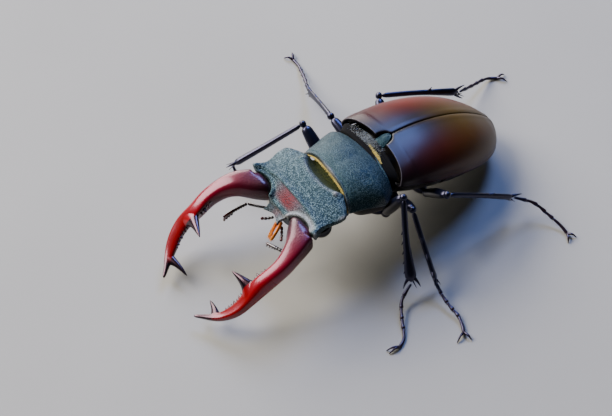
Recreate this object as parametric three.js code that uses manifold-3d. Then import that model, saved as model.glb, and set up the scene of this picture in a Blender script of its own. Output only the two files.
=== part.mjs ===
// A large male stag beetle, Lucanus cervus, standing still on a level floor.
// Millimetres. +X is the beetle's left, -Y is ahead of it, +Z is up, and the feet stand on z = 0.
// The trunk, the fore body and the head each have a frame of their own, tilted as the animal holds them.

import * as THREE from "three";
import { mergeVertices } from "three/addons/utils/BufferGeometryUtils.js";
import Module from "manifold-3d";

const wasm = await Module();
wasm.setup();

// ---------- driving dimensions ----------

const GAP = 0.3; // clearance between plates that meet
const LEFT = 1;
const RIGHT = -1;
const SIDES = { left: LEFT, right: RIGHT };

// Stance of the three body frames: place of the origin in mm, then tilts in degrees.
const TRUNK = { at: [0, 0, 14.56], pitch: -18.2, roll: 0.4, yaw: 4.4 };
const FORE = { at: [0.98, 0.06, 13.8], pitch: -0.2, roll: -2.4, yaw: 0.2 };
const HEAD = { at: [0.92, -9.1, 15.45], pitch: 9.6, roll: -0.7, yaw: 3.5 };

// Trunk: wing cases above, metathorax and abdomen below, parted at the wing cases' side edge.
const ELYTRA = { front: 0.7, back: 31.2, shoulder: 9.4, width: 10.3, widest: 10 };
// Height of the wing cases along the seam, front to tip.
const CROWN = [2.9, 4.1, 4.95, 5.3, 5.25, 4.8, 3.9, 2.5, 0.7];
const ELYTRA_EDGE_DROP = 1.9; // how far the side edge sinks from the shoulder to the tip
const SCUTELLUM = { front: 1.6, back: 4.6, width: 2.1, top: 3.9, thick: 1.2 };
const BELLY = { depth: 5.9, waist: 12.6, back: 30.2 };

// Fore body: pronotum above, prosternum below.
const PRONOTUM = { front: -8.85, back: 0.15, corner: 7.9, angle: 10.1, angleAt: -3.1, base: 8.1, edge: -1.0 };
const PRONOTUM_ARCH = 4.7;
const PROSTERNUM_DEPTH = 5.6;

// Head: a broad flat box with a crest behind, a cross ridge in front and a horn-like canthus each side.
const HEAD_BOX = { back: 0.2, front: -10.9, temple: 9.95, flank: 9.25, canthus: 10.6, canthusAt: -9.7 };
const CREST = { y: -2.6, bow: 1.5, height: 1.1 };
const RIDGE = { y: -7.5, top: 1.35, frons: -1.3 };
const SOCKET = { x: 6.2, y: -11.35, across: 3.3, along: 3.15, floor: -3.7 };
const EYE = { x: 7.95, y: -6.9, z: -1.9, radius: [1.45, 1.8, 1.5] };
const LABRUM = { back: -11.25, front: -12.9, width: 2.2, notch: 0.7, top: -1.15, thick: 0.7 };

// Mandible: its middle line in the head's frame, and the half widths along it.
const MANDIBLE_LINE = [
  [5.9, -10.4, -0.95],
  [9.6, -14.1, -0.4],
  [10.95, -18.4, -1.4],
  [10.9, -22.6, -3.25],
  [10.1, -26.8, -5.45],
  [8.2, -30.6, -7.3],
  [5.1, -34.0, -7.5],
];
const MANDIBLE_PIVOT = [6.6, -11];
const MANDIBLE_SWING = { left: -1.1, right: 1.1 }; // degrees each is turned outward about its pivot
const MANDIBLE_HALF_WIDTH = [2.6, 2.05, 1.5, 1.35, 1.3, 1.05, 0.62, 0.26];
const MANDIBLE_HALF_HEIGHT = [2.25, 2.0, 1.7, 1.5, 1.25, 0.95, 0.6, 0.26];
const MAIN_TOOTH = { at: 0.53, tip: [4.9, -24.1, -2.2], root: 1.5 };
const FORK_TOOTH = { at: 0.84, tip: [3.95, -29.7, -7.9], root: 0.8 };
const DENTICLES = [0.42, 0.475, 0.62, 0.665, 0.71, 0.755, 0.795];
const DENTICLE = { length: 0.5, root: 0.4 };

// Legs: hip, root of the femur, knee and ankle, then the places the tarsus bends at, in the part's frame.
// `edge` is the way the toothed edge of the tibia faces. Without one it faces up and a little out.
const FOOT = 0.26; // height of the tarsus' middle line where it lies on the floor
const LEGS = {
  front_left: {
    hip: [4.6, -3.4, 8.2],
    root: [8.0, -0.8, 6.7],
    knee: [13.2, -0.7, 16.8],
    ankle: [22.1, -4.0, 3.6],
    edge: [-0.4, -0.9, 0],
    toes: [[23.3, -6.7, 1.9], [26.5, -8.7, 0.9], [29.6, -10.2, FOOT], [31.0, -12.2, FOOT]],
    claws: [[30.2, -15.0], [31.2, -14.9]],
  },
  middle_left: {
    hip: [4.2, 1.4, 7.6],
    root: [6.7, 2.7, 6.9],
    knee: [14.1, 0.8, 13.3],
    ankle: [23.7, 0.3, 2.8],
    edge: [0.6, -0.5, 0.6],
    toes: [[25.7, 0.1, 1.9], [28.5, 0.2, 1.2], [31.4, 0.5, 0.7], [34.3, -0.5, FOOT]],
    claws: [[35.6, -3.2], [36.8, 0.0]],
  },
  hind_left: {
    hip: [3.9, 8.3, 5.7],
    root: [6.7, 9.0, 5.0],
    knee: [14.5, 7.9, 13.3],
    ankle: [15.9, 22.4, 5.0],
    toes: [[18.0, 25.8, 3.4], [20.6, 27.3, 1.9], [23.6, 28.4, 0.8], [25.6, 28.6, FOOT]],
    claws: [[27.6, 27.3], [27.2, 29.9]],
  },
  front_right: {
    hip: [-2.3, -3.5, 8.2],
    root: [-5.6, -4.6, 6.8],
    knee: [-14.3, -5.2, 12.2],
    ankle: [-18.7, -18.2, 3.6],
    edge: [-0.5, 0.2, -0.85],
    toes: [[-17.5, -18.0, 1.9], [-15.4, -17.0, 0.9], [-12.6, -15.9, FOOT], [-10.6, -15.1, FOOT]],
    claws: [[-8.2, -15.2], [-8.6, -13.2]],
  },
  middle_right: {
    hip: [-4.2, 1.4, 7.6],
    root: [-6.7, 2.7, 6.8],
    knee: [-15.3, 1.5, 9.4],
    ankle: [-27.9, 4.0, 3.2],
    toes: [[-32.0, 5.6, 1.8], [-35.4, 6.6, 0.9], [-38.2, 7.2, FOOT], [-39.4, 7.0, FOOT]],
    claws: [[-41.0, 5.4], [-41.6, 8.1]],
  },
  hind_right: {
    hip: [-5.2, 7.8, 5.7],
    root: [-7.9, 9.8, 4.5],
    knee: [-16.2, 12.7, 8.1],
    ankle: [-11.4, 28.5, 4.9],
    toes: [[-13.1, 33.0, 2.7], [-14.3, 36.6, 1.3], [-14.6, 38.6, FOOT], [-13.9, 39.8, FOOT]],
    claws: [[-14.2, 42.0], [-11.9, 41.2]],
  },
};
// Thickness of the legs by pair, half sizes: broad side, thin side.
const LEG_BUILD = {
  front: { coxa: 1.6, femur: [1.35, 1.05], tibia: [1.05, 0.55], teeth: 3, tooth: 0.6 },
  middle: { coxa: 1.45, femur: [1.15, 0.9], tibia: [0.9, 0.5], teeth: 2, tooth: 0.6 },
  hind: { coxa: 1.4, femur: [1.15, 0.9], tibia: [0.85, 0.5], teeth: 1, tooth: 0.8 },
};
const LEG_SIDES = 7;
const TARSUS = { sides: 6, joints: [0, 0.2, 0.38, 0.54, 0.68, 1], thin: 0.28, thick: 0.42, claw: 0.26 };

// Feelers and mouthparts, in the head's frame, for the left side unless a side is named.
const FEELER = 0.3; // half thickness of an antenna's stalk
const ANTENNA = {
  root: [3.9, -11.5, -4.3],
  elbow: [7.6, -13.6, -5.0],
  clubs: { left: [1.8, -15.7, -5.0], right: [-6.9, -19.1, -3.4] },
};
const CLUB_LEAVES = 4;
const PALP_TIPS = { left: [3.9, -13.6, -4.0], right: [-2.6, -13.8, -4.0] };
const PALP_ROOT = [1.3, -11.7, -4.1];
const BRUSH = { root: [0.9, -11.5, -3.0], tip: [2.0, -14.8, -4.4], spread: 0.3, bow: 0.7, radius: 0.4 };

// ---------- finishes ----------

const finish = (color, roughness) => new THREE.MeshStandardMaterial({ color, roughness });
const FINISH = {
  armour: () => finish("#2c3338", 0.55), // fine-grained blue-black plates of head and pronotum
  mandible: () => finish("#9c0f18", 0.18), // polished deep red
  wingCase: () => finish("#4a2114", 0.35), // satin chestnut
  leg: () => finish("#14161a", 0.3), // polished black
  under: () => finish("#1a1614", 0.45), // brown-black underside
  eye: () => finish("#08080a", 0.1),
  feeler: () => finish("#3a100c", 0.3), // dark red-brown
  brush: () => finish("#e06a12", 0.7), // orange licking hairs
};

// ---------- small helpers ----------

const radians = THREE.MathUtils.degToRad;
const mix = THREE.MathUtils.lerp;
const ease = THREE.MathUtils.smoothstep;
const vec = (p) => new THREE.Vector3(p[0], p[1], p[2]);
const flip = (p, side) => [p[0] * side, p[1], p[2]];
const power = (v, exponent) => Math.sign(v) * Math.abs(v) ** exponent;
const steps = (count) => Array.from({ length: count + 1 }, (_, i) => i / count);

// A smooth reading of evenly spaced values at s between 0 and 1.
function along(values, s) {
  const line = new THREE.SplineCurve(values.map((value, i) => new THREE.Vector2(i, value)));
  return line.getPoint(THREE.MathUtils.clamp(s, 0, 1)).y;
}

// The smallest factor that rounds an end off: 0 at the end, 1 once past the rounding length.
function roundEnd(distance, length) {
  const u = THREE.MathUtils.clamp(distance / length, 0, 1);
  return Math.sqrt(1 - (1 - u) ** 2);
}

function signedVolume(positions, index) {
  const a = new THREE.Vector3();
  const b = new THREE.Vector3();
  const c = new THREE.Vector3();
  let sum = 0;
  for (let i = 0; i < index.length; i += 3) {
    a.fromArray(positions, index[i] * 3);
    b.fromArray(positions, index[i + 1] * 3);
    c.fromArray(positions, index[i + 2] * 3);
    sum += a.dot(b.cross(c));
  }
  return sum / 6;
}

// Closed skin over a row of rings. A ring of one point is a tip, and an open end gets a flat cap.
function loft(rings) {
  const positions = [];
  const index = [];
  const add = (p) => positions.push(p.x, p.y, p.z) / 3 - 1;
  const numbered = rings.map((ring) => ring.map(add));
  const cap = (ring, turned) => {
    if (ring.length === 1) return;
    const centre = new THREE.Vector3();
    ring.forEach((k) => centre.add(new THREE.Vector3().fromArray(positions, k * 3)));
    const hub = add(centre.divideScalar(ring.length));
    ring.forEach((k, i) => {
      const next = ring[(i + 1) % ring.length];
      index.push(hub, turned ? next : k, turned ? k : next);
    });
  };
  for (let i = 0; i + 1 < numbered.length; i++) {
    const a = numbered[i];
    const b = numbered[i + 1];
    const count = Math.max(a.length, b.length);
    for (let k = 0; k < count; k++) {
      const next = (k + 1) % count;
      if (a.length > 1) index.push(a[k], a[next], b[k % b.length]);
      if (b.length > 1) index.push(a[next % a.length], b[next], b[k]);
    }
  }
  cap(numbered[0], true);
  cap(numbered[numbered.length - 1], false);
  if (signedVolume(positions, index) < 0) index.reverse();
  const geometry = new THREE.BufferGeometry();
  geometry.setAttribute("position", new THREE.Float32BufferAttribute(positions, 3));
  geometry.setIndex(index);
  return geometry;
}

// A limb along a smooth line. radii(s) gives its half sizes across `broad` and across the other way.
function limb(points, radii, stations, sides, broad) {
  const line = new THREE.CatmullRomCurve3(points.map(vec), false, "centripetal");
  const rings = stations.map((s) => {
    const centre = line.getPointAt(s);
    const [wide, thin] = radii(s);
    if (wide < 0.01) return [centre];
    const tangent = line.getTangentAt(s);
    const thinAxis = new THREE.Vector3().crossVectors(tangent, broad).normalize();
    const wideAxis = new THREE.Vector3().crossVectors(thinAxis, tangent).normalize();
    return steps(sides)
      .slice(0, sides)
      .map((turn) => {
        const angle = turn * 2 * Math.PI;
        return centre
          .clone()
          .addScaledVector(wideAxis, wide * Math.cos(angle))
          .addScaledVector(thinAxis, thin * Math.sin(angle));
      });
  });
  return loft(rings);
}

// A spike from a root to a tip, bent towards `bow` at its middle.
function spike(root, tip, radius, sides = 5, bow = new THREE.Vector3(), broad = new THREE.Vector3(0, 0, 1)) {
  const middle = root.clone().lerp(tip, 0.5).add(bow);
  const points = [root, middle, tip].map((p) => p.toArray());
  const taper = (s) => (s >= 1 ? [0, 0] : [radius * (1 - 0.72 * s), radius * (1 - 0.72 * s)]);
  return limb(points, taper, sides > 4 ? [0, 0.5, 0.85, 1] : [0, 0.8, 1], sides, broad);
}

// A mesh's triangles as a manifold-3d solid, and back.
function solid(geometry) {
  const bare = new THREE.BufferGeometry();
  bare.setAttribute("position", geometry.getAttribute("position"));
  bare.setIndex(geometry.index);
  const merged = mergeVertices(bare, 1e-4);
  return new wasm.Manifold(
    new wasm.Mesh({
      numProp: 3,
      vertProperties: new Float32Array(merged.attributes.position.array),
      triVerts: new Uint32Array(merged.index.array),
    }),
  );
}

function geometryOf(body) {
  const mesh = body.getMesh();
  const geometry = new THREE.BufferGeometry();
  geometry.setAttribute("position", new THREE.BufferAttribute(new Float32Array(mesh.vertProperties), 3));
  geometry.setIndex(new THREE.BufferAttribute(new Uint32Array(mesh.triVerts), 1));
  return geometry;
}

const join = (first, ...rest) => geometryOf(rest.reduce((body, g) => body.add(solid(g)), solid(first)));
const cut = (first, ...rest) => geometryOf(rest.reduce((body, g) => body.subtract(solid(g)), solid(first)));

function frame({ at, pitch, roll, yaw }) {
  const group = new THREE.Group();
  group.position.set(...at);
  group.rotation.set(radians(pitch), radians(roll), radians(yaw), "ZXY");
  group.updateMatrixWorld(true);
  return group;
}

const beetle = new THREE.Group();
const trunk = frame(TRUNK);
const fore = frame(FORE);
const head = frame(HEAD);
beetle.add(trunk, fore, head);

function piece(group, name, geometry, material) {
  const mesh = new THREE.Mesh(geometry, material);
  mesh.name = name;
  geometry.computeVertexNormals();
  group.add(mesh);
}

// A shape given in one frame, seen from another.
function moved(geometry, from, to) {
  const toLocal = to.matrixWorld.clone().invert().multiply(from.matrixWorld);
  return geometry.clone().applyMatrix4(toLocal);
}

// ---------- trunk ----------

function elytraWidth(y) {
  const { front, back, shoulder, width, widest } = ELYTRA;
  if (y > widest) {
    const u = (y - widest) / (back - widest);
    return width * Math.sqrt(Math.max(0, 1 - u ** 2.5));
  }
  const swell = Math.sin((Math.PI / 2) * ((y - front) / (widest - front)));
  return mix(shoulder, width, swell) * (1 - 0.1 * (1 - roundEnd(y - front, 1.4)));
}

const elytraEdge = (y) => -ELYTRA_EDGE_DROP * (Math.max(0, y) / ELYTRA.back) ** 1.6;
const elytraArch = (y) => along(CROWN, (y - ELYTRA.front) / (ELYTRA.back - ELYTRA.front)) - elytraEdge(y);

// Half an arch from the side edge (turn 0) to the crown (turn 1).
function archPoint(width, height, turn, squareness) {
  const angle = (turn * Math.PI) / 2;
  return [width * power(Math.cos(angle), 2 / squareness), height * power(Math.sin(angle), 2 / squareness)];
}

const ELYTRA_STATIONS = [0, 0.014, 0.05, 0.13, 0.24, 0.36, 0.48, 0.6, 0.7, 0.79, 0.87, 0.93, 0.975];
const BASE_HOLLOW = 1.4; // how far the wing cases' front edge lies back at the middle
const BASE_UNDERCUT = 2.2; // how much further back their underside starts
const baseLine = (x) => BASE_HOLLOW * (1 - (x / ELYTRA.width) ** 2);

function elytron(side) {
  const turns = steps(8);
  const rings = ELYTRA_STATIONS.map((t) => {
    const y = mix(ELYTRA.front, ELYTRA.back, t);
    const width = elytraWidth(y);
    const edge = elytraEdge(y);
    const hollow = 1 - ease(t, 0, 0.12);
    const point = (x, z, back = 0) => new THREE.Vector3(side * x, y + hollow * baseLine(x) + back, edge + z);
    const outer = turns.map((turn) => {
      const [x, z] = archPoint(width, elytraArch(y), turn, 2.25);
      return point(Math.max(x, GAP / 2), z);
    });
    return [...outer, point(GAP / 2, 0, BASE_UNDERCUT * (1 - ease(t, 0, 0.24)))];
  });
  const tip = new THREE.Vector3(side * 0.8, ELYTRA.back, elytraEdge(ELYTRA.back) + 0.15);
  return loft([...rings, [tip]]);
}

function scutellumShape(grow) {
  const { front, back, width, top, thick } = SCUTELLUM;
  const rings = [0, 0.25, 0.5, 0.75, 0.93].map((t) => {
    const y = mix(front - grow, back + grow, t);
    const half = (width + grow) * Math.sqrt(1 - t ** 2.2);
    const crown = top - 1.5 * (1 - t) ** 1.6 + grow * 2;
    return [
      [-half, crown - 0.5],
      [-half * 0.5, crown - 0.1],
      [half * 0.5, crown - 0.1],
      [half, crown - 0.5],
      [half * 0.8, crown - thick - grow * 3],
      [-half * 0.8, crown - thick - grow * 3],
    ].map(([x, z]) => new THREE.Vector3(x, y, z));
  });
  return loft(rings);
}

function bellyHalfWidth(y) {
  const narrow = mix(0.9, 0.965, ease(y, ELYTRA.front, 6));
  return elytraWidth(Math.min(y, ELYTRA.back - 0.9)) * narrow - 0.1;
}

function bellyDepth(y) {
  const u = Math.max(0, (y - BELLY.waist) / (ELYTRA.back - BELLY.waist));
  return BELLY.depth * (1 - 0.72 * u ** 1.6);
}

// A length of the underside. `bands` steps it into overlapping belly plates.
function underside(from, to, count, bands = 0) {
  const rings = steps(count).map((t) => {
    const y = mix(from, to, t);
    const width = bellyHalfWidth(y);
    const plate = bands ? 0.22 * ((t * bands) % 1) : 0;
    const top = elytraEdge(y) - GAP;
    return steps(10).map((turn) => {
      const angle = Math.PI * turn;
      const x = width * power(Math.cos(angle), 0.85);
      return new THREE.Vector3(x, y, top - (bellyDepth(y) + plate) * power(Math.sin(angle), 0.9));
    });
  });
  return loft(rings);
}

// ---------- fore body ----------

function pronotumWidth(y) {
  const { front, back, corner, angle, angleAt, base } = PRONOTUM;
  if (y > angleAt) return mix(angle, base, ((y - angleAt) / (back - angleAt)) ** 1.15);
  return mix(corner, angle, ease(y, front - 1.2, angleAt + 1.6) ** 0.85);
}

function pronotumArch(y) {
  const t = (y - PRONOTUM.front) / (PRONOTUM.back - PRONOTUM.front);
  return PRONOTUM_ARCH * (0.84 + 0.16 * Math.sin(Math.PI * Math.min(1, t * 1.08))) - 0.25 * t;
}

const PRONOTUM_STATIONS = [0, 0.03, 0.13, 0.27, 0.42, 0.56, 0.68, 0.8, 0.93, 1];

// The front edge is drawn forward at the corners, and the back edge curves forward at the sides.
function pronotumBend(x, t) {
  const reach = (x / PRONOTUM.corner) ** 2;
  return -0.9 * (1 - ease(t, 0, 0.3)) * ease(reach, 0.2, 1.1) - 0.5 * ease(t, 0.7, 1) * Math.min(reach, 1.2);
}

function pronotum(grow = 0) {
  const rings = PRONOTUM_STATIONS.map((t) => {
    const y = mix(PRONOTUM.front, PRONOTUM.back, t);
    const lip = t === 0 || t === 1 ? 0.95 : 1; // the front and back edges are rolled in a little
    const width = pronotumWidth(y) * mix(0.98, 1, lip) + grow;
    const height = pronotumArch(y) * lip + grow;
    const ahead = mix(-grow, grow, t);
    return steps(16).map((turn) => {
      const angle = Math.PI * turn;
      const x = width * power(Math.cos(angle), 2 / 2.35);
      const rim = turn === 0 || turn === 1; // the lower corners of the arch
      const z = PRONOTUM.edge + height * power(Math.sin(angle), 2 / 2.35) - (rim ? grow : 0);
      return new THREE.Vector3(x, y + ahead + pronotumBend(x, t), z);
    });
  });
  return loft(rings);
}

function prosternum(grow = 0) {
  const rings = steps(5).map((t) => {
    const y = mix(PRONOTUM.front + 0.9 - grow, PRONOTUM.back - 0.2 + grow, t);
    const width = pronotumWidth(Math.max(y, PRONOTUM.front)) * 0.93 + grow;
    const depth = PROSTERNUM_DEPTH * mix(0.78, 1, Math.sin(Math.PI * Math.min(1, t + 0.1)) ** 0.6) + grow;
    return steps(8).map((turn) => {
      const angle = Math.PI * turn;
      const x = width * power(Math.cos(angle), 1.15);
      return new THREE.Vector3(x, y, PRONOTUM.edge - GAP + grow - depth * power(Math.sin(angle), 0.8));
    });
  });
  return loft(rings);
}

// The hairy collar in the hollow between pronotum and wing cases, in the trunk's frame.
function collar() {
  const rings = steps(3).map((t) => {
    const width = mix(6.9, 6.2, t);
    const top = mix(1.7, 2.3, t);
    return steps(10).map((turn) => {
      const angle = Math.PI * turn;
      const x = width * Math.cos(angle);
      const y = mix(-1.2, ELYTRA.front + baseLine(x) - GAP - 0.1, t);
      return new THREE.Vector3(x, y, 0.05 + top * power(Math.sin(angle), 0.8));
    });
  });
  return loft(rings);
}

// ---------- head ----------

function headWidth(y) {
  const { temple, flank, canthus, canthusAt, back, front } = HEAD_BOX;
  if (y > -3.2) return mix(5.0, temple, Math.sin((Math.PI / 2) * ((back - y) / (back + 3.2))) ** 1.1);
  if (y > -7) return mix(temple, flank, ease(-y, 3.6, 7));
  if (y > canthusAt) return mix(flank, canthus, ((-7 - y) / (-7 - canthusAt)) ** 2.2);
  return mix(canthus, 3.0, ((canthusAt - y) / (canthusAt - front)) ** 0.6);
}

// Height of the upper side: a crest bowed across the back, a hollow, then the ridge and the steep frons.
function headTop(x, y) {
  const width = headWidth(y);
  const rim = (x / width) ** 2;
  const crestY = CREST.y + CREST.bow * (x / 5.4) ** 2;
  const crest = CREST.height * Math.exp(-(((y - crestY) / 0.7) ** 2)) * (1 - ease(Math.abs(x), 4.6, 7.2));
  const nape = -1.7 * ease(y, crestY + 0.1, -0.9) * (1 - ease(Math.abs(x), 4.8, 7.5));
  const ridgeY = RIDGE.y - 1.1 * ease(Math.abs(x), 4, 9);
  const steep = ease(-y, -ridgeY, -ridgeY + 2.0) * (1 - ease(Math.abs(x), 7.5, 9.6));
  const slope = (RIDGE.frons - RIDGE.top) * steep;
  const swell = 0.25 * Math.exp(-(((y - ridgeY - 0.3) / 0.6) ** 2)) * (1 - ease(Math.abs(x), 4.5, 7));
  return mix(RIDGE.top, 0.45 + 0.55 * ease(-y, 5, 9.7), rim ** 1.5) + crest + nape + slope + swell;
}

function headBottom(x, y) {
  const width = headWidth(y);
  const depth = mix(4.3, 5.2, Math.sin((Math.PI * (y - HEAD_BOX.back)) / (HEAD_BOX.front - HEAD_BOX.back)));
  const shelf = Math.min(width, 8.4) / width; // the cheeks turn in under the canthus
  return -depth * Math.max(0, 1 - Math.min(1, Math.abs(x) / (width * shelf)) ** 2.4) ** 0.6 - 0.5;
}

const HEAD_STATIONS = [
  0.2, -0.8, -1.4, -2.0, -2.6, -3.3, -4.4, -5.6, -6.7, -7.4, -8.1, -8.8, -9.3, -9.7, -10.3, -10.9,
];

function headShell() {
  const across = steps(12).map((t) => 1 - 2 * t);
  const rings = HEAD_STATIONS.map((y) => {
    const width = headWidth(y);
    const upper = across.map((u) => {
      const x = width * power(u, 0.85);
      return new THREE.Vector3(x, y, headTop(x, y));
    });
    const lower = [-0.95, -0.7, 0, 0.7, 0.95].map((u) => {
      const x = width * u;
      return new THREE.Vector3(x, y, headBottom(x, y));
    });
    return [...upper, ...lower];
  });
  return loft(rings);
}

// The hollow that a mandible's root turns in, open above.
function socketSpace(side) {
  const height = 9;
  const space = new THREE.CylinderGeometry(1, 1, height, 12);
  space.rotateX(Math.PI / 2);
  space.scale(SOCKET.across, SOCKET.along, 1);
  space.translate(side * SOCKET.x, SOCKET.y, SOCKET.floor + height / 2);
  return space;
}

function eyeball(side, grow) {
  const ball = new THREE.SphereGeometry(1, 9, 6);
  ball.scale(...EYE.radius.map((r) => r + grow));
  ball.translate(side * EYE.x, EYE.y, EYE.z);
  return ball;
}

function labrum() {
  const { back, front, width, notch, top, thick } = LABRUM;
  const outline = new THREE.Shape();
  outline.moveTo(-width, 0);
  outline.lineTo(-width * 0.85, front - back);
  outline.quadraticCurveTo(0, front - back + notch * 2, width * 0.85, front - back);
  outline.lineTo(width, 0);
  const plate = new THREE.ExtrudeGeometry(outline, { depth: thick, bevelEnabled: false, curveSegments: 6 });
  plate.rotateX(radians(14));
  plate.translate(0, back, top - thick);
  return plate;
}

// ---------- mandibles ----------

function mandibleLine(side) {
  return new THREE.CatmullRomCurve3(MANDIBLE_LINE.map((p) => vec(flip(p, side))), false, "centripetal");
}

const MANDIBLE_STATIONS = [0, 0.06, 0.13, 0.21, 0.3, 0.4, 0.5, 0.6, 0.7, 0.79, 0.87, 0.93, 0.97];
const MANDIBLE_SIDES = 10;

function mandibleSection(line, s) {
  const centre = line.getPointAt(s);
  const ahead = new THREE.Vector3(0, -1, 0).lerp(line.getTangentAt(s), ease(s, -0.02, 0.14)).normalize();
  const across = new THREE.Vector3().crossVectors(ahead, new THREE.Vector3(0, 0, 1)).normalize();
  const up = new THREE.Vector3().crossVectors(across, ahead);
  const wide = along(MANDIBLE_HALF_WIDTH, s);
  const high = along(MANDIBLE_HALF_HEIGHT, s);
  return { centre, ahead, across, up, wide, high };
}

function mandibleRing({ centre, ahead, across, up, wide, high }, scale, shift) {
  const squareness = 2.4; // the upper face is broad and rather flat
  return steps(MANDIBLE_SIDES)
    .slice(0, MANDIBLE_SIDES)
    .map((turn) => {
      const angle = turn * 2 * Math.PI;
      return centre
        .clone()
        .addScaledVector(ahead, shift)
        .addScaledVector(across, scale * wide * power(Math.cos(angle), 2 / squareness))
        .addScaledVector(up, scale * high * power(Math.sin(angle), 2 / squareness));
    });
}

function mandible(side, swing) {
  const line = mandibleLine(side);
  const sections = MANDIBLE_STATIONS.map((s) => mandibleRing(mandibleSection(line, s), 1, 0));
  const root = mandibleSection(line, 0);
  const rounded = [mandibleRing(root, 0.55, -1.15), mandibleRing(root, 0.86, -0.75)];
  const blade = loft([...rounded, ...sections, [line.getPointAt(1)]]);
  const inward = (s) => {
    const { centre, across, wide } = mandibleSection(line, s);
    const toward = across.clone().multiplyScalar(Math.sign(across.x) * -side);
    return { centre, toward, wide };
  };
  const tooth = ({ at, tip, root: radius }) => {
    const { centre } = inward(at);
    const bow = new THREE.Vector3(0, 0.35, 0);
    return spike(centre, vec(flip(tip, side)), radius, 6, bow);
  };
  const denticles = DENTICLES.map((s) => {
    const { centre, toward, wide } = inward(s);
    const from = centre.clone().addScaledVector(toward, wide * 0.6);
    const to = centre.clone().addScaledVector(toward, wide + DENTICLE.length);
    return spike(from, to, DENTICLE.root, 4);
  });
  const whole = join(blade, tooth(MAIN_TOOTH), tooth(FORK_TOOTH), ...denticles);
  const pivot = flip(MANDIBLE_PIVOT, side);
  whole.translate(-pivot[0], -pivot[1], 0);
  whole.rotateZ(radians(side * swing));
  whole.translate(pivot[0], pivot[1], 0);
  return whole;
}

// ---------- feelers and mouthparts ----------

function stalk(points, start, end) {
  const radii = (s) => {
    const r = mix(start, end, s) * roundEnd(Math.min(s, 1 - s), 0.12);
    return [r, r];
  };
  return limb(points, radii, [0, 0.04, 0.12, 0.5, 0.88, 0.96, 1], 6, new THREE.Vector3(0, 0, 1));
}

function between(a, b, t) {
  return vec(a).lerp(vec(b), t);
}

// The bent end of an antenna: small beads, then a club of flat leaves that hang down.
function flagellum(from, to) {
  const beads = 4;
  const stations = steps(beads * 2);
  const radii = (s) => {
    const bead = FEELER + 0.1 * Math.abs(Math.sin(s * beads * Math.PI)) + 0.08 * s;
    const r = bead * roundEnd(Math.min(s, 1 - s), 0.05);
    return [r, r];
  };
  const line = [from.toArray(), between(from.toArray(), to.toArray(), 0.5).toArray(), to.toArray()];
  const rod = limb(line, radii, stations, 5, new THREE.Vector3(0, 0, 1));
  const axis = to.clone().sub(from).normalize();
  const down = new THREE.Vector3(0, 0, -1);
  const leaves = steps(CLUB_LEAVES - 1).map((t) => {
    const foot = from.clone().lerp(to, mix(0.62, 0.95, t));
    const reach = mix(0.8, 1.2, t);
    return spike(foot, foot.clone().addScaledVector(down, reach).addScaledVector(axis, 0.3), 0.34, 4);
  });
  return join(rod, ...leaves);
}

// The licking brush of the mouth: two tufts that part at the root and meet again at the tip.
function brush() {
  const { root, tip, spread, bow, radius } = BRUSH;
  const tufts = [RIGHT, LEFT].map((side) => {
    const end = vec(tip).add(new THREE.Vector3(side * spread, 0, 0));
    return spike(vec(root), end, radius, 6, new THREE.Vector3(side * bow, 0, 0.2));
  });
  return join(...tufts);
}

// ---------- legs ----------

function pairOf(name) {
  return name.split("_")[0];
}

function coxa(hip, root, radius, grow) {
  const ball = new THREE.SphereGeometry(1, 8, 6);
  const axis = root.clone().sub(hip);
  const reach = axis.length();
  ball.scale(radius + grow, reach + grow, radius * 0.95 + grow);
  ball.applyQuaternion(new THREE.Quaternion().setFromUnitVectors(new THREE.Vector3(0, 1, 0), axis.normalize()));
  ball.translate(...hip.toArray());
  return ball;
}

function femur(root, knee, [broad, thin]) {
  const axis = knee.clone().sub(root).normalize();
  const start = root.clone().addScaledVector(axis, GAP + 0.1);
  const end = knee.clone().addScaledVector(axis, -0.45);
  const radii = (s) => {
    const club = mix(0.62, 1, Math.sin(Math.PI * Math.min(1, s * 0.9 + 0.1)) ** 0.7);
    const r = club * roundEnd(Math.min(s, 1 - s), 0.07);
    return [broad * r, thin * r];
  };
  const points = [start, start.clone().lerp(end, 0.5), end].map((p) => p.toArray());
  return limb(points, radii, [0, 0.02, 0.08, 0.35, 0.7, 0.95, 1], LEG_SIDES, new THREE.Vector3(0, 1, 0));
}

function tibia(knee, ankle, build, edge) {
  const axis = ankle.clone().sub(knee).normalize();
  const start = knee.clone().addScaledVector(axis, 0.5);
  const end = ankle.clone().addScaledVector(axis, -0.25);
  const [broad, thin] = build.tibia;
  const flat = edge.clone().addScaledVector(axis, -edge.dot(axis)).normalize();
  const radii = (s) => {
    const r = roundEnd(Math.min(s, 1 - s), 0.035);
    return [mix(0.58, broad, s ** 1.5) * r, mix(0.5, thin, s) * r];
  };
  const bowed = start.clone().lerp(end, 0.5).addScaledVector(flat, 0.25);
  const points = [start, bowed, end].map((p) => p.toArray());
  const shaft = limb(points, radii, [0, 0.012, 0.1, 0.4, 0.7, 0.98, 1], 6, flat);
  const thorns = steps(build.teeth - 1 || 1)
    .slice(0, build.teeth)
    .map((t) => {
      const foot = start.clone().lerp(end, mix(0.5, 0.8, t));
      const lean = flat.clone().multiplyScalar(build.tooth + broad * 0.6).addScaledVector(axis, 0.7);
      return spike(foot, foot.clone().add(lean), 0.42, 4);
    });
  const spurs = [1, -1].map((way) => {
    const foot = end.clone().addScaledVector(axis, -0.9).addScaledVector(flat, way * broad * 0.45);
    const lean = axis.clone().multiplyScalar(2.1).addScaledVector(flat, way * 1.15);
    return spike(foot, foot.clone().add(lean), 0.4, 4);
  });
  return join(shaft, ...thorns, ...spurs);
}

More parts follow.
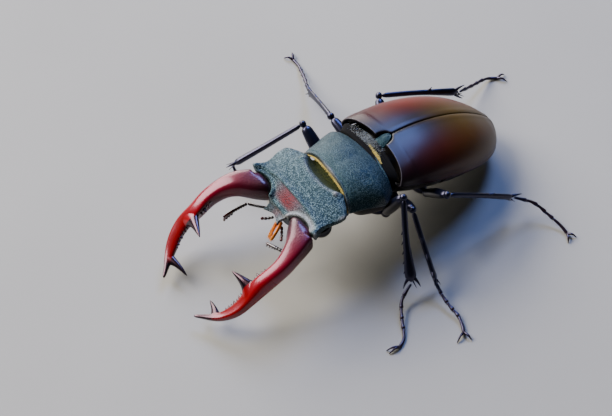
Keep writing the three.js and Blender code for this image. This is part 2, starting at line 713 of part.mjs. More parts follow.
function tarsus(ankle, toes, claws) {
  const first = vec(toes[0]).sub(ankle).normalize();
  const start = ankle.clone().addScaledVector(first, 0.6);
  const points = [start.toArray(), ...toes];
  const stations = [0];
  TARSUS.joints.slice(1).forEach((end, i) => {
    const begin = TARSUS.joints[i];
    stations.push(mix(begin, end, 0.15), mix(begin, end, 0.85));
  });
  stations.push(1);
  const radii = (s) => {
    if (s === 0 || s === 1) return [0, 0];
    const i = TARSUS.joints.findIndex((end) => s < end);
    const t = (s - TARSUS.joints[i - 1]) / (TARSUS.joints[i] - TARSUS.joints[i - 1]);
    const r = mix(TARSUS.thin, TARSUS.thick, t);
    return [r, r];
  };
  const rod = limb(points, radii, stations, TARSUS.sides, new THREE.Vector3(0, 0, 1));
  const [before, last] = toes.slice(-2).map(vec);
  const end = last.clone().addScaledVector(before.sub(last).normalize(), 0.4);
  const hooks = claws.map(([x, y]) => {
    const tip = new THREE.Vector3(x, y, TARSUS.claw * 0.4);
    const middle = end.clone().lerp(tip, 0.5);
    middle.z = 0.75;
    const radii = (s) => {
      const r = s === 0 || s === 1 ? 0 : mix(0.34, TARSUS.claw, s);
      return [r, r];
    };
    const line = [end, middle, tip].map((p) => p.toArray());
    return limb(line, radii, [0, 0.1, 0.5, 0.92, 1], 5, new THREE.Vector3(0, 0, 1));
  });
  const floorDepth = 4;
  const floor = new THREE.BoxGeometry(200, 200, floorDepth);
  floor.translate(0, 0, -floorDepth / 2);
  return cut(join(rod, ...hooks), floor);
}

// ---------- assembly ----------

const hips = Object.entries(LEGS).map(([name, leg]) => {
  const build = LEG_BUILD[pairOf(name)];
  return { name, shape: (grow) => coxa(vec(leg.hip), vec(leg.root), build.coxa, grow) };
});
const hipSpaces = (group) => hips.map(({ shape }) => moved(shape(GAP), beetle, group));

// The space behind the trunk's front plane, kept clear of the prosternum.
const trunkSpace = new THREE.BoxGeometry(60, 30, 60);
trunkSpace.translate(0, 15 + ELYTRA.front - GAP - 0.1, 0);
const pronotumSpace = (group) => moved(pronotum(GAP), fore, group);

const chest = cut(underside(ELYTRA.front, BELLY.waist, 5), pronotumSpace(trunk), ...hipSpaces(trunk));
piece(trunk, "metathorax", chest, FINISH.under());
const tail = cut(underside(BELLY.waist + GAP, BELLY.back, 10, 5), ...hipSpaces(trunk));
piece(trunk, "abdomen", tail, FINISH.under());
piece(trunk, "scutellum", scutellumShape(0), FINISH.armour());
for (const [word, side] of Object.entries(SIDES))
  piece(trunk, `elytron_${word}`, cut(elytron(side), scutellumShape(GAP)), FINISH.wingCase());

piece(fore, "pronotum", pronotum(), FINISH.armour());
const breast = cut(prosternum(), moved(trunkSpace, trunk, fore), ...hipSpaces(fore));
piece(fore, "prosternum", breast, FINISH.under());
piece(trunk, "collar", cut(collar(), pronotumSpace(trunk), scutellumShape(GAP)), FINISH.under());

const hollows = Object.values(SIDES).flatMap((side) => [socketSpace(side), eyeball(side, GAP)]);
const skull = cut(headShell(), ...hollows, pronotumSpace(head), moved(prosternum(GAP), fore, head));
piece(head, "head", skull, FINISH.armour());
piece(head, "labrum", labrum(), FINISH.armour());
piece(head, "mouth_brush", brush(), FINISH.brush());
for (const [word, side] of Object.entries(SIDES)) {
  piece(head, `eye_${word}`, eyeball(side, 0), FINISH.eye());
  piece(head, `mandible_${word}`, mandible(side, MANDIBLE_SWING[word]), FINISH.mandible());
  const root = vec(flip(ANTENNA.root, side));
  const elbow = vec(flip(ANTENNA.elbow, side));
  const tip = vec(ANTENNA.clubs[word]);
  const start = elbow.clone().addScaledVector(tip.clone().sub(elbow).normalize(), 0.75);
  const scapeLine = [root, root.clone().lerp(elbow, 0.5), elbow].map((p) => p.toArray());
  piece(head, `antenna_scape_${word}`, stalk(scapeLine, FEELER, FEELER * 1.2), FINISH.feeler());
  piece(head, `antenna_club_${word}`, flagellum(start, tip), FINISH.feeler());
  const palpRoot = flip(PALP_ROOT, side);
  const palpTip = PALP_TIPS[word];
  const palpMiddle = between(palpRoot, palpTip, 0.5).add(new THREE.Vector3(0, 0, -0.2));
  piece(head, `palp_${word}`, stalk([palpRoot, palpMiddle.toArray(), palpTip], 0.3, 0.26), FINISH.feeler());
}

for (const [name, leg] of Object.entries(LEGS)) {
  const build = LEG_BUILD[pairOf(name)];
  const outward = [0.3 * Math.sign(leg.hip[0]), 0, 1];
  const [root, knee, ankle, edge] = [leg.root, leg.knee, leg.ankle, leg.edge ?? outward].map(vec);
  piece(beetle, `coxa_${name}`, coxa(vec(leg.hip), root, build.coxa, 0), FINISH.leg());
  piece(beetle, `femur_${name}`, femur(root, knee, build.femur), FINISH.leg());
  piece(beetle, `tibia_${name}`, tibia(knee, ankle, build, edge), FINISH.leg());
  piece(beetle, `tarsus_${name}`, tarsus(ankle, leg.toes, leg.claws), FINISH.leg());
}

// The origin is the middle of the footprint, on the floor.
const extent = new THREE.Box3().setFromObject(beetle, true);
const middle = extent.getCenter(new THREE.Vector3());
beetle.position.set(-middle.x, -middle.y, 0);

export default beetle;
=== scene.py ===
import math
import random

import bmesh
import bpy
from mathutils import Matrix, Vector


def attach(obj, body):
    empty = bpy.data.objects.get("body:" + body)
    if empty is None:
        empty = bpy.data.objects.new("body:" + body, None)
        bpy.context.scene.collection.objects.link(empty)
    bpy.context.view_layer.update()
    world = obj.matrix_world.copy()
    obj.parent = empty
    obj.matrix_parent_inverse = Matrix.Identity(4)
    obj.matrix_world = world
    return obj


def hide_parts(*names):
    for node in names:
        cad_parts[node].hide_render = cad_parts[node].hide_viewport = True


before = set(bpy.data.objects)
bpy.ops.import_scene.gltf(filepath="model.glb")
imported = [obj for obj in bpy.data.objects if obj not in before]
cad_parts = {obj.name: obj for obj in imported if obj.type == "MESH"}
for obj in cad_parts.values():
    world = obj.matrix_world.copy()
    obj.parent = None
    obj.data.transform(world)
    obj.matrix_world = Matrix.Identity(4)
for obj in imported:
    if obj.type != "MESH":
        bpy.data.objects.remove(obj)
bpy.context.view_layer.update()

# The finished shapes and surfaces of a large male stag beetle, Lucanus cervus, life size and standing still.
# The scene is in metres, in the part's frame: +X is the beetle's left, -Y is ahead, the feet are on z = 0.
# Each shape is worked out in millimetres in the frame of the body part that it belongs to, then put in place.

random.seed(7)

MM = 0.001
CENTRE = Vector((2.4, -0.1707, 0.0))  # mm: brings the middle of the footprint to the origin
SIDES = {"left": 1, "right": -1}


# ---------- numbers and lines ----------

def mix(a, b, t):
    return a + (b - a) * t


def ease(low, high, x):
    t = min(1.0, max(0.0, (x - low) / (high - low)))
    return t * t * (3 - 2 * t)


def at_end(v):
    """Whether v is at the first or last row of a sheet, which closes on one point."""
    return v < 1e-4 or v > 1 - 1e-4


def bell(x, middle, spread):
    return math.exp(-(((x - middle) / spread) ** 2))


def power(x, exponent):
    return math.copysign(abs(x) ** exponent, x)


def round_end(distance, length):
    """Rounds an end off: 0 at the end, 1 once past the rounding length."""
    u = min(1.0, max(0.0, distance / length))
    return math.sqrt(1 - (1 - u) ** 2)


def along(values, s):
    """A smooth reading of evenly spaced values at s, from 0 to 1."""
    place = min(1.0, max(0.0, s)) * (len(values) - 1)
    i = min(int(place), len(values) - 2)
    t = place - i
    a, b, c, d = (values[min(max(k, 0), len(values) - 1)] for k in (i - 1, i, i + 1, i + 2))
    return 0.5 * (2 * b + (c - a) * t + (2 * a - 5 * b + 4 * c - d) * t**2 + (3 * b - a - 3 * c + d) * t**3)


def mirrored(p, side):
    return Vector((p[0] * side, p[1], p[2]))


class Line:
    """A smooth line through a row of points, read by the share of its length."""

    def __init__(self, *points):
        points = [Vector(p) for p in points]
        row = [2 * points[0] - points[1], *points, 2 * points[-1] - points[-2]]
        fours = zip(row, row[1:], row[2:], row[3:])
        self.spots = [self.between(*four, i / 16) for four in fours for i in range(16)]
        self.spots.append(points[-1])
        self.reach = [0.0]
        for a, b in zip(self.spots, self.spots[1:]):
            self.reach.append(self.reach[-1] + (b - a).length)
        self.length = self.reach[-1]

    @staticmethod
    def between(a, b, c, d, t):
        """Centripetal spline from b to c, so that the line doesn't swing out at uneven points."""
        k1 = max((b - a).length, 1e-6) ** 0.5
        k2 = k1 + max((c - b).length, 1e-6) ** 0.5
        k3 = k2 + max((d - c).length, 1e-6) ** 0.5
        x = mix(k1, k2, t)
        part = lambda p, q, low, high: p.lerp(q, (x - low) / (high - low))
        ab, bc, cd = part(a, b, 0, k1), part(b, c, k1, k2), part(c, d, k2, k3)
        return part(part(ab, bc, 0, k2), part(bc, cd, k1, k3), k1, k2)

    def at(self, s):
        target = min(1.0, max(0.0, s)) * self.length
        i = next((k for k in range(1, len(self.reach)) if self.reach[k] >= target), len(self.reach) - 1)
        gap = self.reach[i] - self.reach[i - 1] or 1.0
        return self.spots[i - 1].lerp(self.spots[i], (target - self.reach[i - 1]) / gap)

    def ahead(self, s):
        return (self.at(s + 0.02) - self.at(s - 0.02)).normalized()


def body_frame(at=(0, 0, 0), pitch=0.0, roll=0.0, yaw=0.0):
    """From millimetres in a body part's own frame to metres in the part's frame."""
    turn = (
        Matrix.Rotation(math.radians(yaw), 4, "Z")
        @ Matrix.Rotation(math.radians(pitch), 4, "X")
        @ Matrix.Rotation(math.radians(roll), 4, "Y")
    )
    return Matrix.Scale(MM, 4) @ Matrix.Translation(CENTRE + Vector(at)) @ turn


GROUND = body_frame()
TRUNK = body_frame((0, 0, 14.56), -18.2, 0.4, 4.4)
FORE = body_frame((0.98, 0.06, 13.8), -0.2, -2.4, 0.2)
HEAD = body_frame((0.92, -9.1, 15.45), 9.6, -0.7, 3.5)


# ---------- the maker's bench ----------

def pick(piece):
    """Selects one object and nothing else, ready for an operator."""
    bpy.ops.object.select_all(action="DESELECT")
    piece.select_set(True)
    bpy.context.view_layer.objects.active = piece


def start(name, primitive, **how):
    """A primitive at its size and place, which becomes the piece of that name."""
    bpy.ops.object.select_all(action="DESELECT")
    primitive(**how)
    piece = bpy.context.object
    piece.name = piece.data.name = name
    return piece


def modify(piece, kind, **settings):
    pick(piece)
    made = piece.modifiers.new(kind.lower(), kind)
    for key, value in settings.items():
        setattr(made, key, value)
    bpy.ops.object.modifier_apply(modifier=made.name)


def subdivide(piece, levels):
    modify(piece, "SUBSURF", levels=levels, render_levels=levels)


def tidy(piece, weld=0.0):
    """Welds points closer than the given distance, and turns all faces outward."""
    pick(piece)
    bpy.ops.object.mode_set(mode="EDIT")
    bpy.ops.mesh.select_all(action="SELECT")
    if weld:
        bpy.ops.mesh.remove_doubles(threshold=weld)
    bpy.ops.mesh.normals_make_consistent(inside=False)
    bpy.ops.object.mode_set(mode="OBJECT")


def joined(name, pieces):
    bpy.ops.object.select_all(action="DESELECT")
    for piece in pieces:
        piece.select_set(True)
    bpy.context.view_layer.objects.active = pieces[0]
    bpy.ops.object.join()
    pieces[0].name = pieces[0].data.name = name
    return pieces[0]


def biggest_part(piece):
    """Drops the crumbs that remeshing leaves where a sheet crosses itself."""
    name = piece.name
    pick(piece)
    bpy.ops.mesh.separate(type="LOOSE")
    parts = sorted(bpy.context.selected_objects, key=lambda part: -len(part.data.vertices))
    for crumb in parts[1:]:
        bpy.data.objects.remove(crumb)
    parts[0].name = parts[0].data.name = name
    return parts[0]


def mark(piece, name, reading):
    """Stores a value, 0 to 1, at each point, for the finish. reading takes a point's number and its place."""
    layer = piece.data.attributes.get(name) or piece.data.attributes.new(name, "FLOAT", "POINT")
    layer.data.foreach_set("value", [float(reading(i, p.co)) for i, p in enumerate(piece.data.vertices)])


WELD = 1e-4  # mm: points of a closed form that lie nearer than this become one


def pressed(name, form, columns, rows, wall=0.0, closed=False, levels=1):
    """A sheet pressed to a form: form(u, v) is the place of the point u across and v along it, both 0 to 1.
    A wall gives the sheet a thickness. A closed form is welded where the sheet's edges meet."""
    sheet = start(
        name, bpy.ops.mesh.primitive_grid_add, x_subdivisions=columns, y_subdivisions=rows, size=1
    )
    flat = [(p.co.x + 0.5, p.co.y + 0.5) for p in sheet.data.vertices]
    mark(sheet, "across", lambda i, _: flat[i][0])
    mark(sheet, "along", lambda i, _: flat[i][1])
    for p, (u, v) in zip(sheet.data.vertices, flat):
        p.co = form(u, v)
    tidy(sheet, WELD if closed else 0.0)
    if wall:
        middle = sum((p.co for p in sheet.data.vertices), Vector()) / len(sheet.data.vertices)
        outward = sum(f.area * f.normal.dot(f.center - middle) for f in sheet.data.polygons)
        if outward < 0:
            bpy.ops.object.mode_set(mode="EDIT")
            bpy.ops.mesh.flip_normals()
            bpy.ops.object.mode_set(mode="OBJECT")
        modify(sheet, "SOLIDIFY", thickness=wall, offset=-1)
    if levels:
        subdivide(sheet, levels)
    return sheet


def skin(name, rings, sides=12, levels=1, squareness=2.0):
    """A closed skin over a row of rings, each bridged to the one before it.
    A ring is its middle, its sideways and upward directions, and its half width and half height."""
    grown = 3 / (2 + math.cos(2 * math.pi / sides)) if levels else 1  # what subdividing draws in again
    piece = start(name, bpy.ops.mesh.primitive_circle_add, vertices=sides)
    bpy.ops.object.mode_set(mode="EDIT")
    bpy.ops.mesh.select_mode(type="EDGE")
    bpy.ops.mesh.select_all(action="SELECT")
    bpy.ops.mesh.delete(type="VERT")
    for k, (middle, across, up, wide, high) in enumerate(rings):
        bpy.ops.mesh.primitive_circle_add(vertices=sides, location=middle)
        mesh = bmesh.from_edit_mesh(piece.data)
        mesh.verts.ensure_lookup_table()
        for i, point in enumerate(mesh.verts[k * sides :]):
            angle = 2 * math.pi * i / sides
            point.co = (
                middle
                + across * (grown * wide * power(math.cos(angle), 2 / squareness))
                + up * (grown * high * power(math.sin(angle), 2 / squareness))
            )
        if k:
            for edge in mesh.edges:
                first, second = (p.index // sides for p in edge.verts)
                edge.select_set(first == second and first >= k - 1)
            bmesh.update_edit_mesh(piece.data)
            bpy.ops.mesh.bridge_edge_loops()
    for k in (0, len(rings) - 1):
        mesh = bmesh.from_edit_mesh(piece.data)
        for edge in mesh.edges:
            edge.select_set(all(p.index // sides == k for p in edge.verts))
        bmesh.update_edit_mesh(piece.data)
        bpy.ops.mesh.edge_face_add()
    bpy.ops.object.mode_set(mode="OBJECT")
    mark(piece, "along", lambda i, _: (i // sides) / (len(rings) - 1))
    tidy(piece)
    if levels:
        subdivide(piece, levels)
    return piece


def limb(name, line, size, count, sides=12, levels=1, broad=Vector((0, 0, 1)), squareness=2.0):
    """A skin along a line. size(s) gives its half sizes across `broad` and the other way."""
    rings = []
    for s in (i / (count - 1) for i in range(count)):
        ahead = line.ahead(s)
        thin_way = ahead.cross(broad).normalized()
        wide, thin = size(s)
        rings.append((line.at(s), thin_way, thin_way.cross(ahead), max(thin, 0.015), max(wide, 0.015)))
    return skin(name, rings, sides, levels, squareness)


def spike(name, root, tip, radius, bow=Vector(), sides=8, levels=1, sharp=0.04):
    """A curved point from a root to a tip, narrowing fastest at its root."""
    line = Line(root, root.lerp(tip, 0.5) + bow, tip)
    size = lambda s: [mix(radius, sharp, s**0.8) * round_end(1.03 - s, 0.1)] * 2
    return limb(name, line, size, 7, sides, levels, Vector((0.1, 0.2, 1)))


def settle(piece, place, surface, slot, *nodes):
    """Puts a finished piece in its place on the beetle, and gives it its surface finish."""
    pick(piece)
    piece.matrix_world = place
    bpy.ops.object.transform_apply(location=True, rotation=True, scale=True)
    bpy.ops.object.shade_smooth_by_angle(angle=math.radians(60))
    piece.data.materials.clear()
    piece.data.materials.append(surface)
    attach(piece, "root")
    if nodes:
        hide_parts(*nodes)
    return piece


# ---------- finishes ----------

COLOURS = {"data_type": "RGBA", "out": 2}  # for a Mix node that blends colours: share 0, colours 6 and 7
PLATE_MARKS = ("coarse", "brow", "nape", "worn")  # what a plate's points are marked with


def grey(value):
    return (value, value, value, 1.0)


def linear(value):
    """An sRGB hex colour as linear numbers. Any other value stays as it is."""
    if not isinstance(value, str):
        return value
    parts = [int(value[i : i + 2], 16) / 255 for i in (1, 3, 5)]
    return (*[c / 12.92 if c <= 0.04045 else ((c + 0.055) / 1.055) ** 2.4 for c in parts], 1.0)


def per_mm(count):
    """Pattern scale for so many repeats in a millimetre."""
    return count / MM


class Finish:
    """A surface finish in the making. Words of a shader socket's name are joined by an underscore."""

    def __init__(self, name, **sockets):
        self.made = bpy.data.materials.new(name)
        self.made.use_nodes = True
        self.tree = self.made.node_tree
        self.tree.nodes.clear()
        surface = self.add("BsdfPrincipled", {key.replace("_", " "): value for key, value in sockets.items()})
        self.shader = surface.node
        self.add("OutputMaterial", {"Surface": surface})
        self.place = self.add("TexCoord", out="Object")

    def add(self, kind, inputs=None, stops=(), out=0, **settings):
        """Adds a node with its settings, the values or links of its inputs, and a ramp's stops, each a place
        and a colour or a grey. Gives one of its outputs."""
        node = self.tree.nodes.new(f"ShaderNode{kind}")
        for key, value in settings.items():
            setattr(node, key, value)
        for key, value in (inputs or {}).items():
            if isinstance(value, bpy.types.NodeSocket):
                self.tree.links.new(value, node.inputs[key])
            else:
                node.inputs[key].default_value = linear(value)
        for i, (place, colour) in enumerate(stops):
            stop = node.color_ramp.elements[i] if i < 2 else node.color_ramp.elements.new(place)
            stop.position, stop.color = place, linear(colour) if isinstance(colour, str) else grey(colour)
        return node.outputs[out] if node.outputs else None

    def done(self, colour, height=None, strength=0.0, depth=0.0, hollow=False, rough=None):
        """Links colour, relief and roughness to the shader. The relief's depth is in millimetres, and it is
        turned inward if hollow."""
        self.tree.links.new(colour, self.shader.inputs["Base Color"])
        if height is not None:
            relief = {"Strength": strength, "Distance": depth * MM, "Height": height}
            self.tree.links.new(self.add("Bump", relief, invert=hollow), self.shader.inputs["Normal"])
        if rough is not None:
            self.tree.links.new(rough, self.shader.inputs["Roughness"])
        return self.made


def plate_finish():
    # Armour plates of head and pronotum: thick black chitin, closely granulate. The grain breaks up the light
    # to a blue-grey bloom, painted as pale dots: painted highlights on a black ground whose blue-green is
    # partly painted sky sheen. Edges are paler, partly rubbed wear and partly painted highlight where they
    # catch the light, the sunk nape is olive and the thin brow dark red.
    f = Finish("granulate_armour_chitin", IOR=1.5, Specular_Tint="#6fa9bd")
    # Real granules are 0.1 to 0.15 mm apart. They are drawn 0.23 mm apart, so that they show.
    grain = f.add("TexVoronoi", {"Vector": f.place, "Scale": per_mm(4.4), "Randomness": 0.8}, out="Distance")
    patch = f.add("TexNoise", {"Vector": f.place, "Scale": per_mm(0.35), "Detail": 4.0})
    uneven = f.add("TexNoise", {"Vector": f.place, "Scale": per_mm(0.9), "Detail": 1.0})
    coarse, brow, nape, worn = (f.add("Attribute", out="Fac", attribute_name=name) for name in PLATE_MARKS)
    # black ground, its blue-green partly painted sky sheen
    tint = f.add("ValToRGB", {"Fac": patch}, [(0.3, "#04161d"), (0.7, "#0b1a1a")])
    # painted highlights: a pale dot at each granule, standing in for its glint of sky
    painted_glints = f.add("ValToRGB", {"Fac": grain}, [(0.05, 1.0), (0.55, 0.0)])
    for part in (coarse, uneven):
        painted_glints = f.add("Math", {0: painted_glints, 1: part}, operation="MULTIPLY")
    tint = f.add("Mix", {0: painted_glints, 6: tint, 7: "#a9c2c2"}, **COLOURS)
    for share, raised, sunk in (
        (brow, "#8a0f0b", "#230303"),
        (nape, "#3e3f08", "#0b0c00"),
        # pale where rubbed, and painted highlight on edges that catch the light
        (worn, "#cfc9c2", "#5c5a58"),
    ):
        shade = f.add("Mix", {0: grain, 6: raised, 7: sunk}, **COLOURS)
        tint = f.add("Mix", {0: share, 6: tint, 7: shade}, **COLOURS)
    rough = f.add("ValToRGB", {"Fac": patch}, [(0.3, 0.42), (0.7, 0.54)])
    rough = f.add("Mix", {0: nape, 6: rough, 7: grey(0.9)}, **COLOURS)
    return f.done(tint, grain, 0.8, 0.08, hollow=True, rough=rough)


def wing_finish():
    # Wing cases: thin chestnut chitin, smooth and satin under a waxy layer. Both halves start dark at the
    # front, with a faint blue that is painted sky sheen. The half beside the seam runs to olive-brown, its
    # olive partly a painted reflection of green surroundings, the outer half to red-brown. The turned-in
    # front rim has a painted highlight along its edge and painted shade inside, and the punctures are too
    # fine to feel.
    f = Finish("satin_wing_case", IOR=1.38, Roughness=0.36)
    length, width, redness = (
        f.add("Attribute", out="Fac", attribute_name=name) for name in ("along", "across", "redness")
    )
    patch = f.add("TexNoise", {"Vector": f.place, "Scale": per_mm(0.12), "Detail": 3.0})
    # faint blue at the front is painted sky sheen; the olive further back is partly a painted reflection of
    # green
    inner = f.add("ValToRGB", {"Fac": length}, [
        (0.0, "#0b0c12"), (1.0, "#100d02"), (0.3, "#0c0b14"), (0.42, "#1c1206"),
        (0.6, "#4a3604"), (0.82, "#443004"),
    ])
    # faint purple-blue at the front is painted sky sheen
    outer = f.add("ValToRGB", {"Fac": length}, [
        (0.0, "#120c12"), (1.0, "#160c04"), (0.25, "#3e0a05"), (0.45, "#6a1503"), (0.8, "#561c03"),
    ])
    outward = f.add("ValToRGB", {"Fac": width}, [(0.08, 0.0), (0.35, 1.0)])
    # red-brown outer half, stronger on the right wing case as painted back light
    outward = f.add("Math", {0: outward, 1: redness}, operation="MULTIPLY")
    tint = f.add("Mix", {0: outward, 6: inner, 7: outer}, **COLOURS)
    # painted highlight: a pale line along the edge of the front rim
    rim = f.add("ValToRGB", {"Fac": length}, [(0.04, 0.0), (0.09, 0.0), (0.052, 0.5), (0.065, 0.5)])
    cloudy = f.add("MapRange", {"Value": patch, "To Min": 0.0, "To Max": 0.2})
    # painted shade: the turned-in front wall is made black
    inside = f.add("ValToRGB", {"Fac": length}, [(0.03, 1.0), (0.045, 0.0)])
    for share, code in ((rim, "#6d6a72"), (cloudy, "#2a1808"), (inside, "#030303")):
        tint = f.add("Mix", {0: share, 6: tint, 7: code}, **COLOURS)
    # Punctures 0.2 mm apart.
    pits = f.add("TexVoronoi", {"Vector": f.place, "Scale": per_mm(5)}, out="Distance")
    return f.done(tint, pits, 0.12, 0.02)


def horn_finish():
    # Mandibles: thick chitin polished by use, wine red at the pitted root, clear blood red along the blade,
    # and black on the teeth, the tips and the biting edge. Its gleam is pink.
    f = Finish("polished_jaw_horn", IOR=1.5, Specular_Tint="#ffb0c8", Coat_Weight=0.35, Coat_Roughness=0.12)
    reach, black = (f.add("Attribute", out="Fac", attribute_name=name) for name in ("reach", "black"))
    tint = f.add("ValToRGB", {"Fac": reach}, [
        (0.0, "#1a0208"), (1.0, "#5c0203"), (0.12, "#420416"), (0.3, "#74031e"),
        (0.5, "#860210"), (0.6, "#7e0202"), (0.8, "#760101"),
    ])
    tint = f.add("Mix", {0: black, 6: tint, 7: "#030408"}, **COLOURS)
    # Pits 0.35 mm apart at the root, which fade out along the blade.
    pits = f.add("TexVoronoi", {"Vector": f.place, "Scale": per_mm(2.9)}, out="Distance")
    at_root = f.add("ValToRGB", {"Fac": reach}, [(0.08, 1.0), (0.3, 0.0)])
    pits = f.add("Math", {0: pits, 1: at_root}, operation="MULTIPLY")
    rough = f.add("ValToRGB", {"Fac": reach}, [(0.1, 0.36), (0.5, 0.24)])
    return f.done(tint, pits, 0.5, 0.06, rough=rough)


def leg_finish():
    # Legs: black chitin with a hard polish, a violet gleam and fine pits; the faint blue in the black is a
    # painted reflection of blue sky. The slender feet are red-brown.
    f = Finish("black_leg_chitin", IOR=1.6, Roughness=0.3, Specular_Tint="#cdc8f5")
    patch = f.add("TexNoise", {"Vector": f.place, "Scale": per_mm(0.8), "Detail": 3.0})
    # blue-black: the blue is a painted reflection of sky
    tint = f.add("Mix", {0: patch, 6: "#020308", 7: "#060a18"}, **COLOURS)
    foot = f.add("Attribute", out="Fac", attribute_name="foot")
    tint = f.add("Mix", {0: foot, 6: tint, 7: "#1c0c10"}, **COLOURS)
    pits = f.add("TexVoronoi", {"Vector": f.place, "Scale": per_mm(3.2)}, out="Distance")
    return f.done(tint, pits, 0.2, 0.03)


def belly_finish():
    # Underside: dark brown chitin under a short lying down of hair, which dulls it and gives it a fine nap.
    f = Finish(
        "downy_belly_chitin", IOR=1.55, Roughness=0.55, Specular_IOR_Level=0.3,
        Sheen_Weight=0.08, Sheen_Roughness=0.5,
    )
    stretched = f.add("Mapping", {"Vector": f.place, "Scale": (1.0, 0.15, 1.0)})
    # Hairs 0.1 mm apart and about 0.7 mm long.
    nap = f.add("TexNoise", {"Vector": stretched, "Scale": per_mm(9), "Detail": 2.0})
    tint = f.add("ValToRGB", {"Fac": nap}, [(0.35, "#0b0705"), (0.62, "#20160a"), (0.78, "#4d3816")])
    return f.done(tint, nap, 0.6, 0.05)


def neck_finish():
    # Neck: leathery dark membrane, finely wrinkled across and dull, painted near black as painted shade, so
    # that it reads as a shaded gap.
    f = Finish("wrinkled_neck_membrane", IOR=1.4, Roughness=0.85, Specular_IOR_Level=0.15)
    # Wrinkles 0.5 mm apart.
    across = {"Vector": f.place, "Scale": per_mm(0.65), "Distortion": 3.0}
    folds = f.add("TexWave", across, out="Fac", bands_direction="Y")
    # near black: painted shade of the gap between pronotum and wing cases
    tint = f.add("Mix", {0: folds, 6: "#020202", 7: "#080604"}, **COLOURS)
    return f.done(tint, folds, 0.5, 0.05)


def eye_finish():
    # Compound eyes: wet-looking black domes of close lenses, drawn 0.12 mm across so that they show.
    f = Finish("faceted_eye", IOR=1.4, Roughness=0.15)
    lens = f.add("TexVoronoi", {"Vector": f.place, "Scale": per_mm(8), "Randomness": 0.15}, out="Distance")
    tint = f.add("ValToRGB", {"Fac": lens}, [(0.2, "#050506"), (0.6, "#100a08")])
    return f.done(tint, lens, 0.3, 0.03, hollow=True)


def feeler_finish():
    # Feelers: thin smooth chitin, black-brown where thick and clear red-brown towards the end.
    f = Finish("red_brown_feeler", IOR=1.55, Roughness=0.25, Coat_Weight=0.8, Coat_Roughness=0.1)
    patch = f.add("TexNoise", {"Vector": f.place, "Scale": per_mm(1.5), "Detail": 2.0})
    length = f.add("Attribute", out="Fac", attribute_name="along")
    tint = f.add("ValToRGB", {"Fac": length}, [(0.0, "#120706"), (1.0, "#651209"), (0.6, "#260906")])
    tint = f.add("Mix", {0: patch, 6: tint, 7: "#0d0607"}, **COLOURS)
    return f.done(tint, patch, 0.15, 0.02)


def hair_finish(name, root, middle, tip):
    # Hair tufts: fine bristles with a silky gleam along them, darker at the root and paler at the tip.
    f = Finish(name, IOR=1.55, Roughness=0.45, Sheen_Weight=0.4, Sheen_Roughness=0.4)
    length = f.add("Attribute", out="Fac", attribute_name="along")
    tint = f.add("ValToRGB", {"Fac": length}, [(0.0, root), (1.0, tip), (0.4, middle)])
    strand = f.add("TexNoise", {"Vector": f.place, "Scale": per_mm(4), "Detail": 2.0})
    varied = f.add("Mix", {0: strand, 6: root, 7: tip}, **COLOURS)
    tint = f.add("Mix", {0: 0.5, 6: tint, 7: varied}, **COLOURS)
    return f.done(tint, strand, 0.4, 0.02)


PLATE = plate_finish()
WING = wing_finish()
HORN = horn_finish()
LEG = leg_finish()
BELLY = belly_finish()
NECK = neck_finish()
EYE = eye_finish()
FEELER = feeler_finish()
GOLD_HAIR = hair_finish("golden_fringe_hair", "#8a6a1a", "#d9b838", "#f7e88c")
PALE_HAIR = hair_finish("pale_neck_down", "#4c504c", "#8f968e", "#c6cabf")
BRUSH_HAIR = hair_finish("orange_brush_hair", "#8a2c02", "#f06a02", "#ffae22")


# ---------- trunk ----------

WING_FRONT, WING_BACK, WING_SHOULDER, WING_WIDTH, WING_WIDEST = 0.7, 31.2, 9.4, 10.3, 10.0
CROWN = [2.9, 4.1, 4.95, 5.3, 5.25, 4.8, 3.9, 2.5, 0.7]  # height along the seam, front to tip
BASE_HOLLOW = 1.4  # how far the wing cases' front edge lies back at the middle
WING_REDNESS_WITH_BACKLIGHT = {"left": 0.35, "right": 0.8}  # how red the outer half gets; the right wing case's extra red is painted back light
SHIELD_FRONT, SHIELD_BACK, SHIELD_HALF, SHIELD_TOP = 1.8, 4.2, 1.35, 3.8  # the scutellum
BELLY_DEPTH, WAIST, BELLY_BACK = 5.9, 12.6, 30.2


def wing_half_width(y):
    if y > WING_WIDEST:
        u = (y - WING_WIDEST) / (WING_BACK - WING_WIDEST)
        return WING_WIDTH * math.sqrt(max(0.0, 1 - u**2.5))
    swell = math.sin(math.pi / 2 * (y - WING_FRONT) / (WING_WIDEST - WING_FRONT))
    return mix(WING_SHOULDER, WING_WIDTH, swell) * (1 - 0.04 * (1 - round_end(y - WING_FRONT, 1.2)))


def wing_edge(y):
    return -1.9 * (max(0.0, y) / WING_BACK) ** 1.6


def shield_half_width(y):
    reach = max(0.0, (y - SHIELD_FRONT) / (SHIELD_BACK - SHIELD_FRONT))
    return SHIELD_HALF * math.sqrt(max(0.0, 1 - reach**2.2))


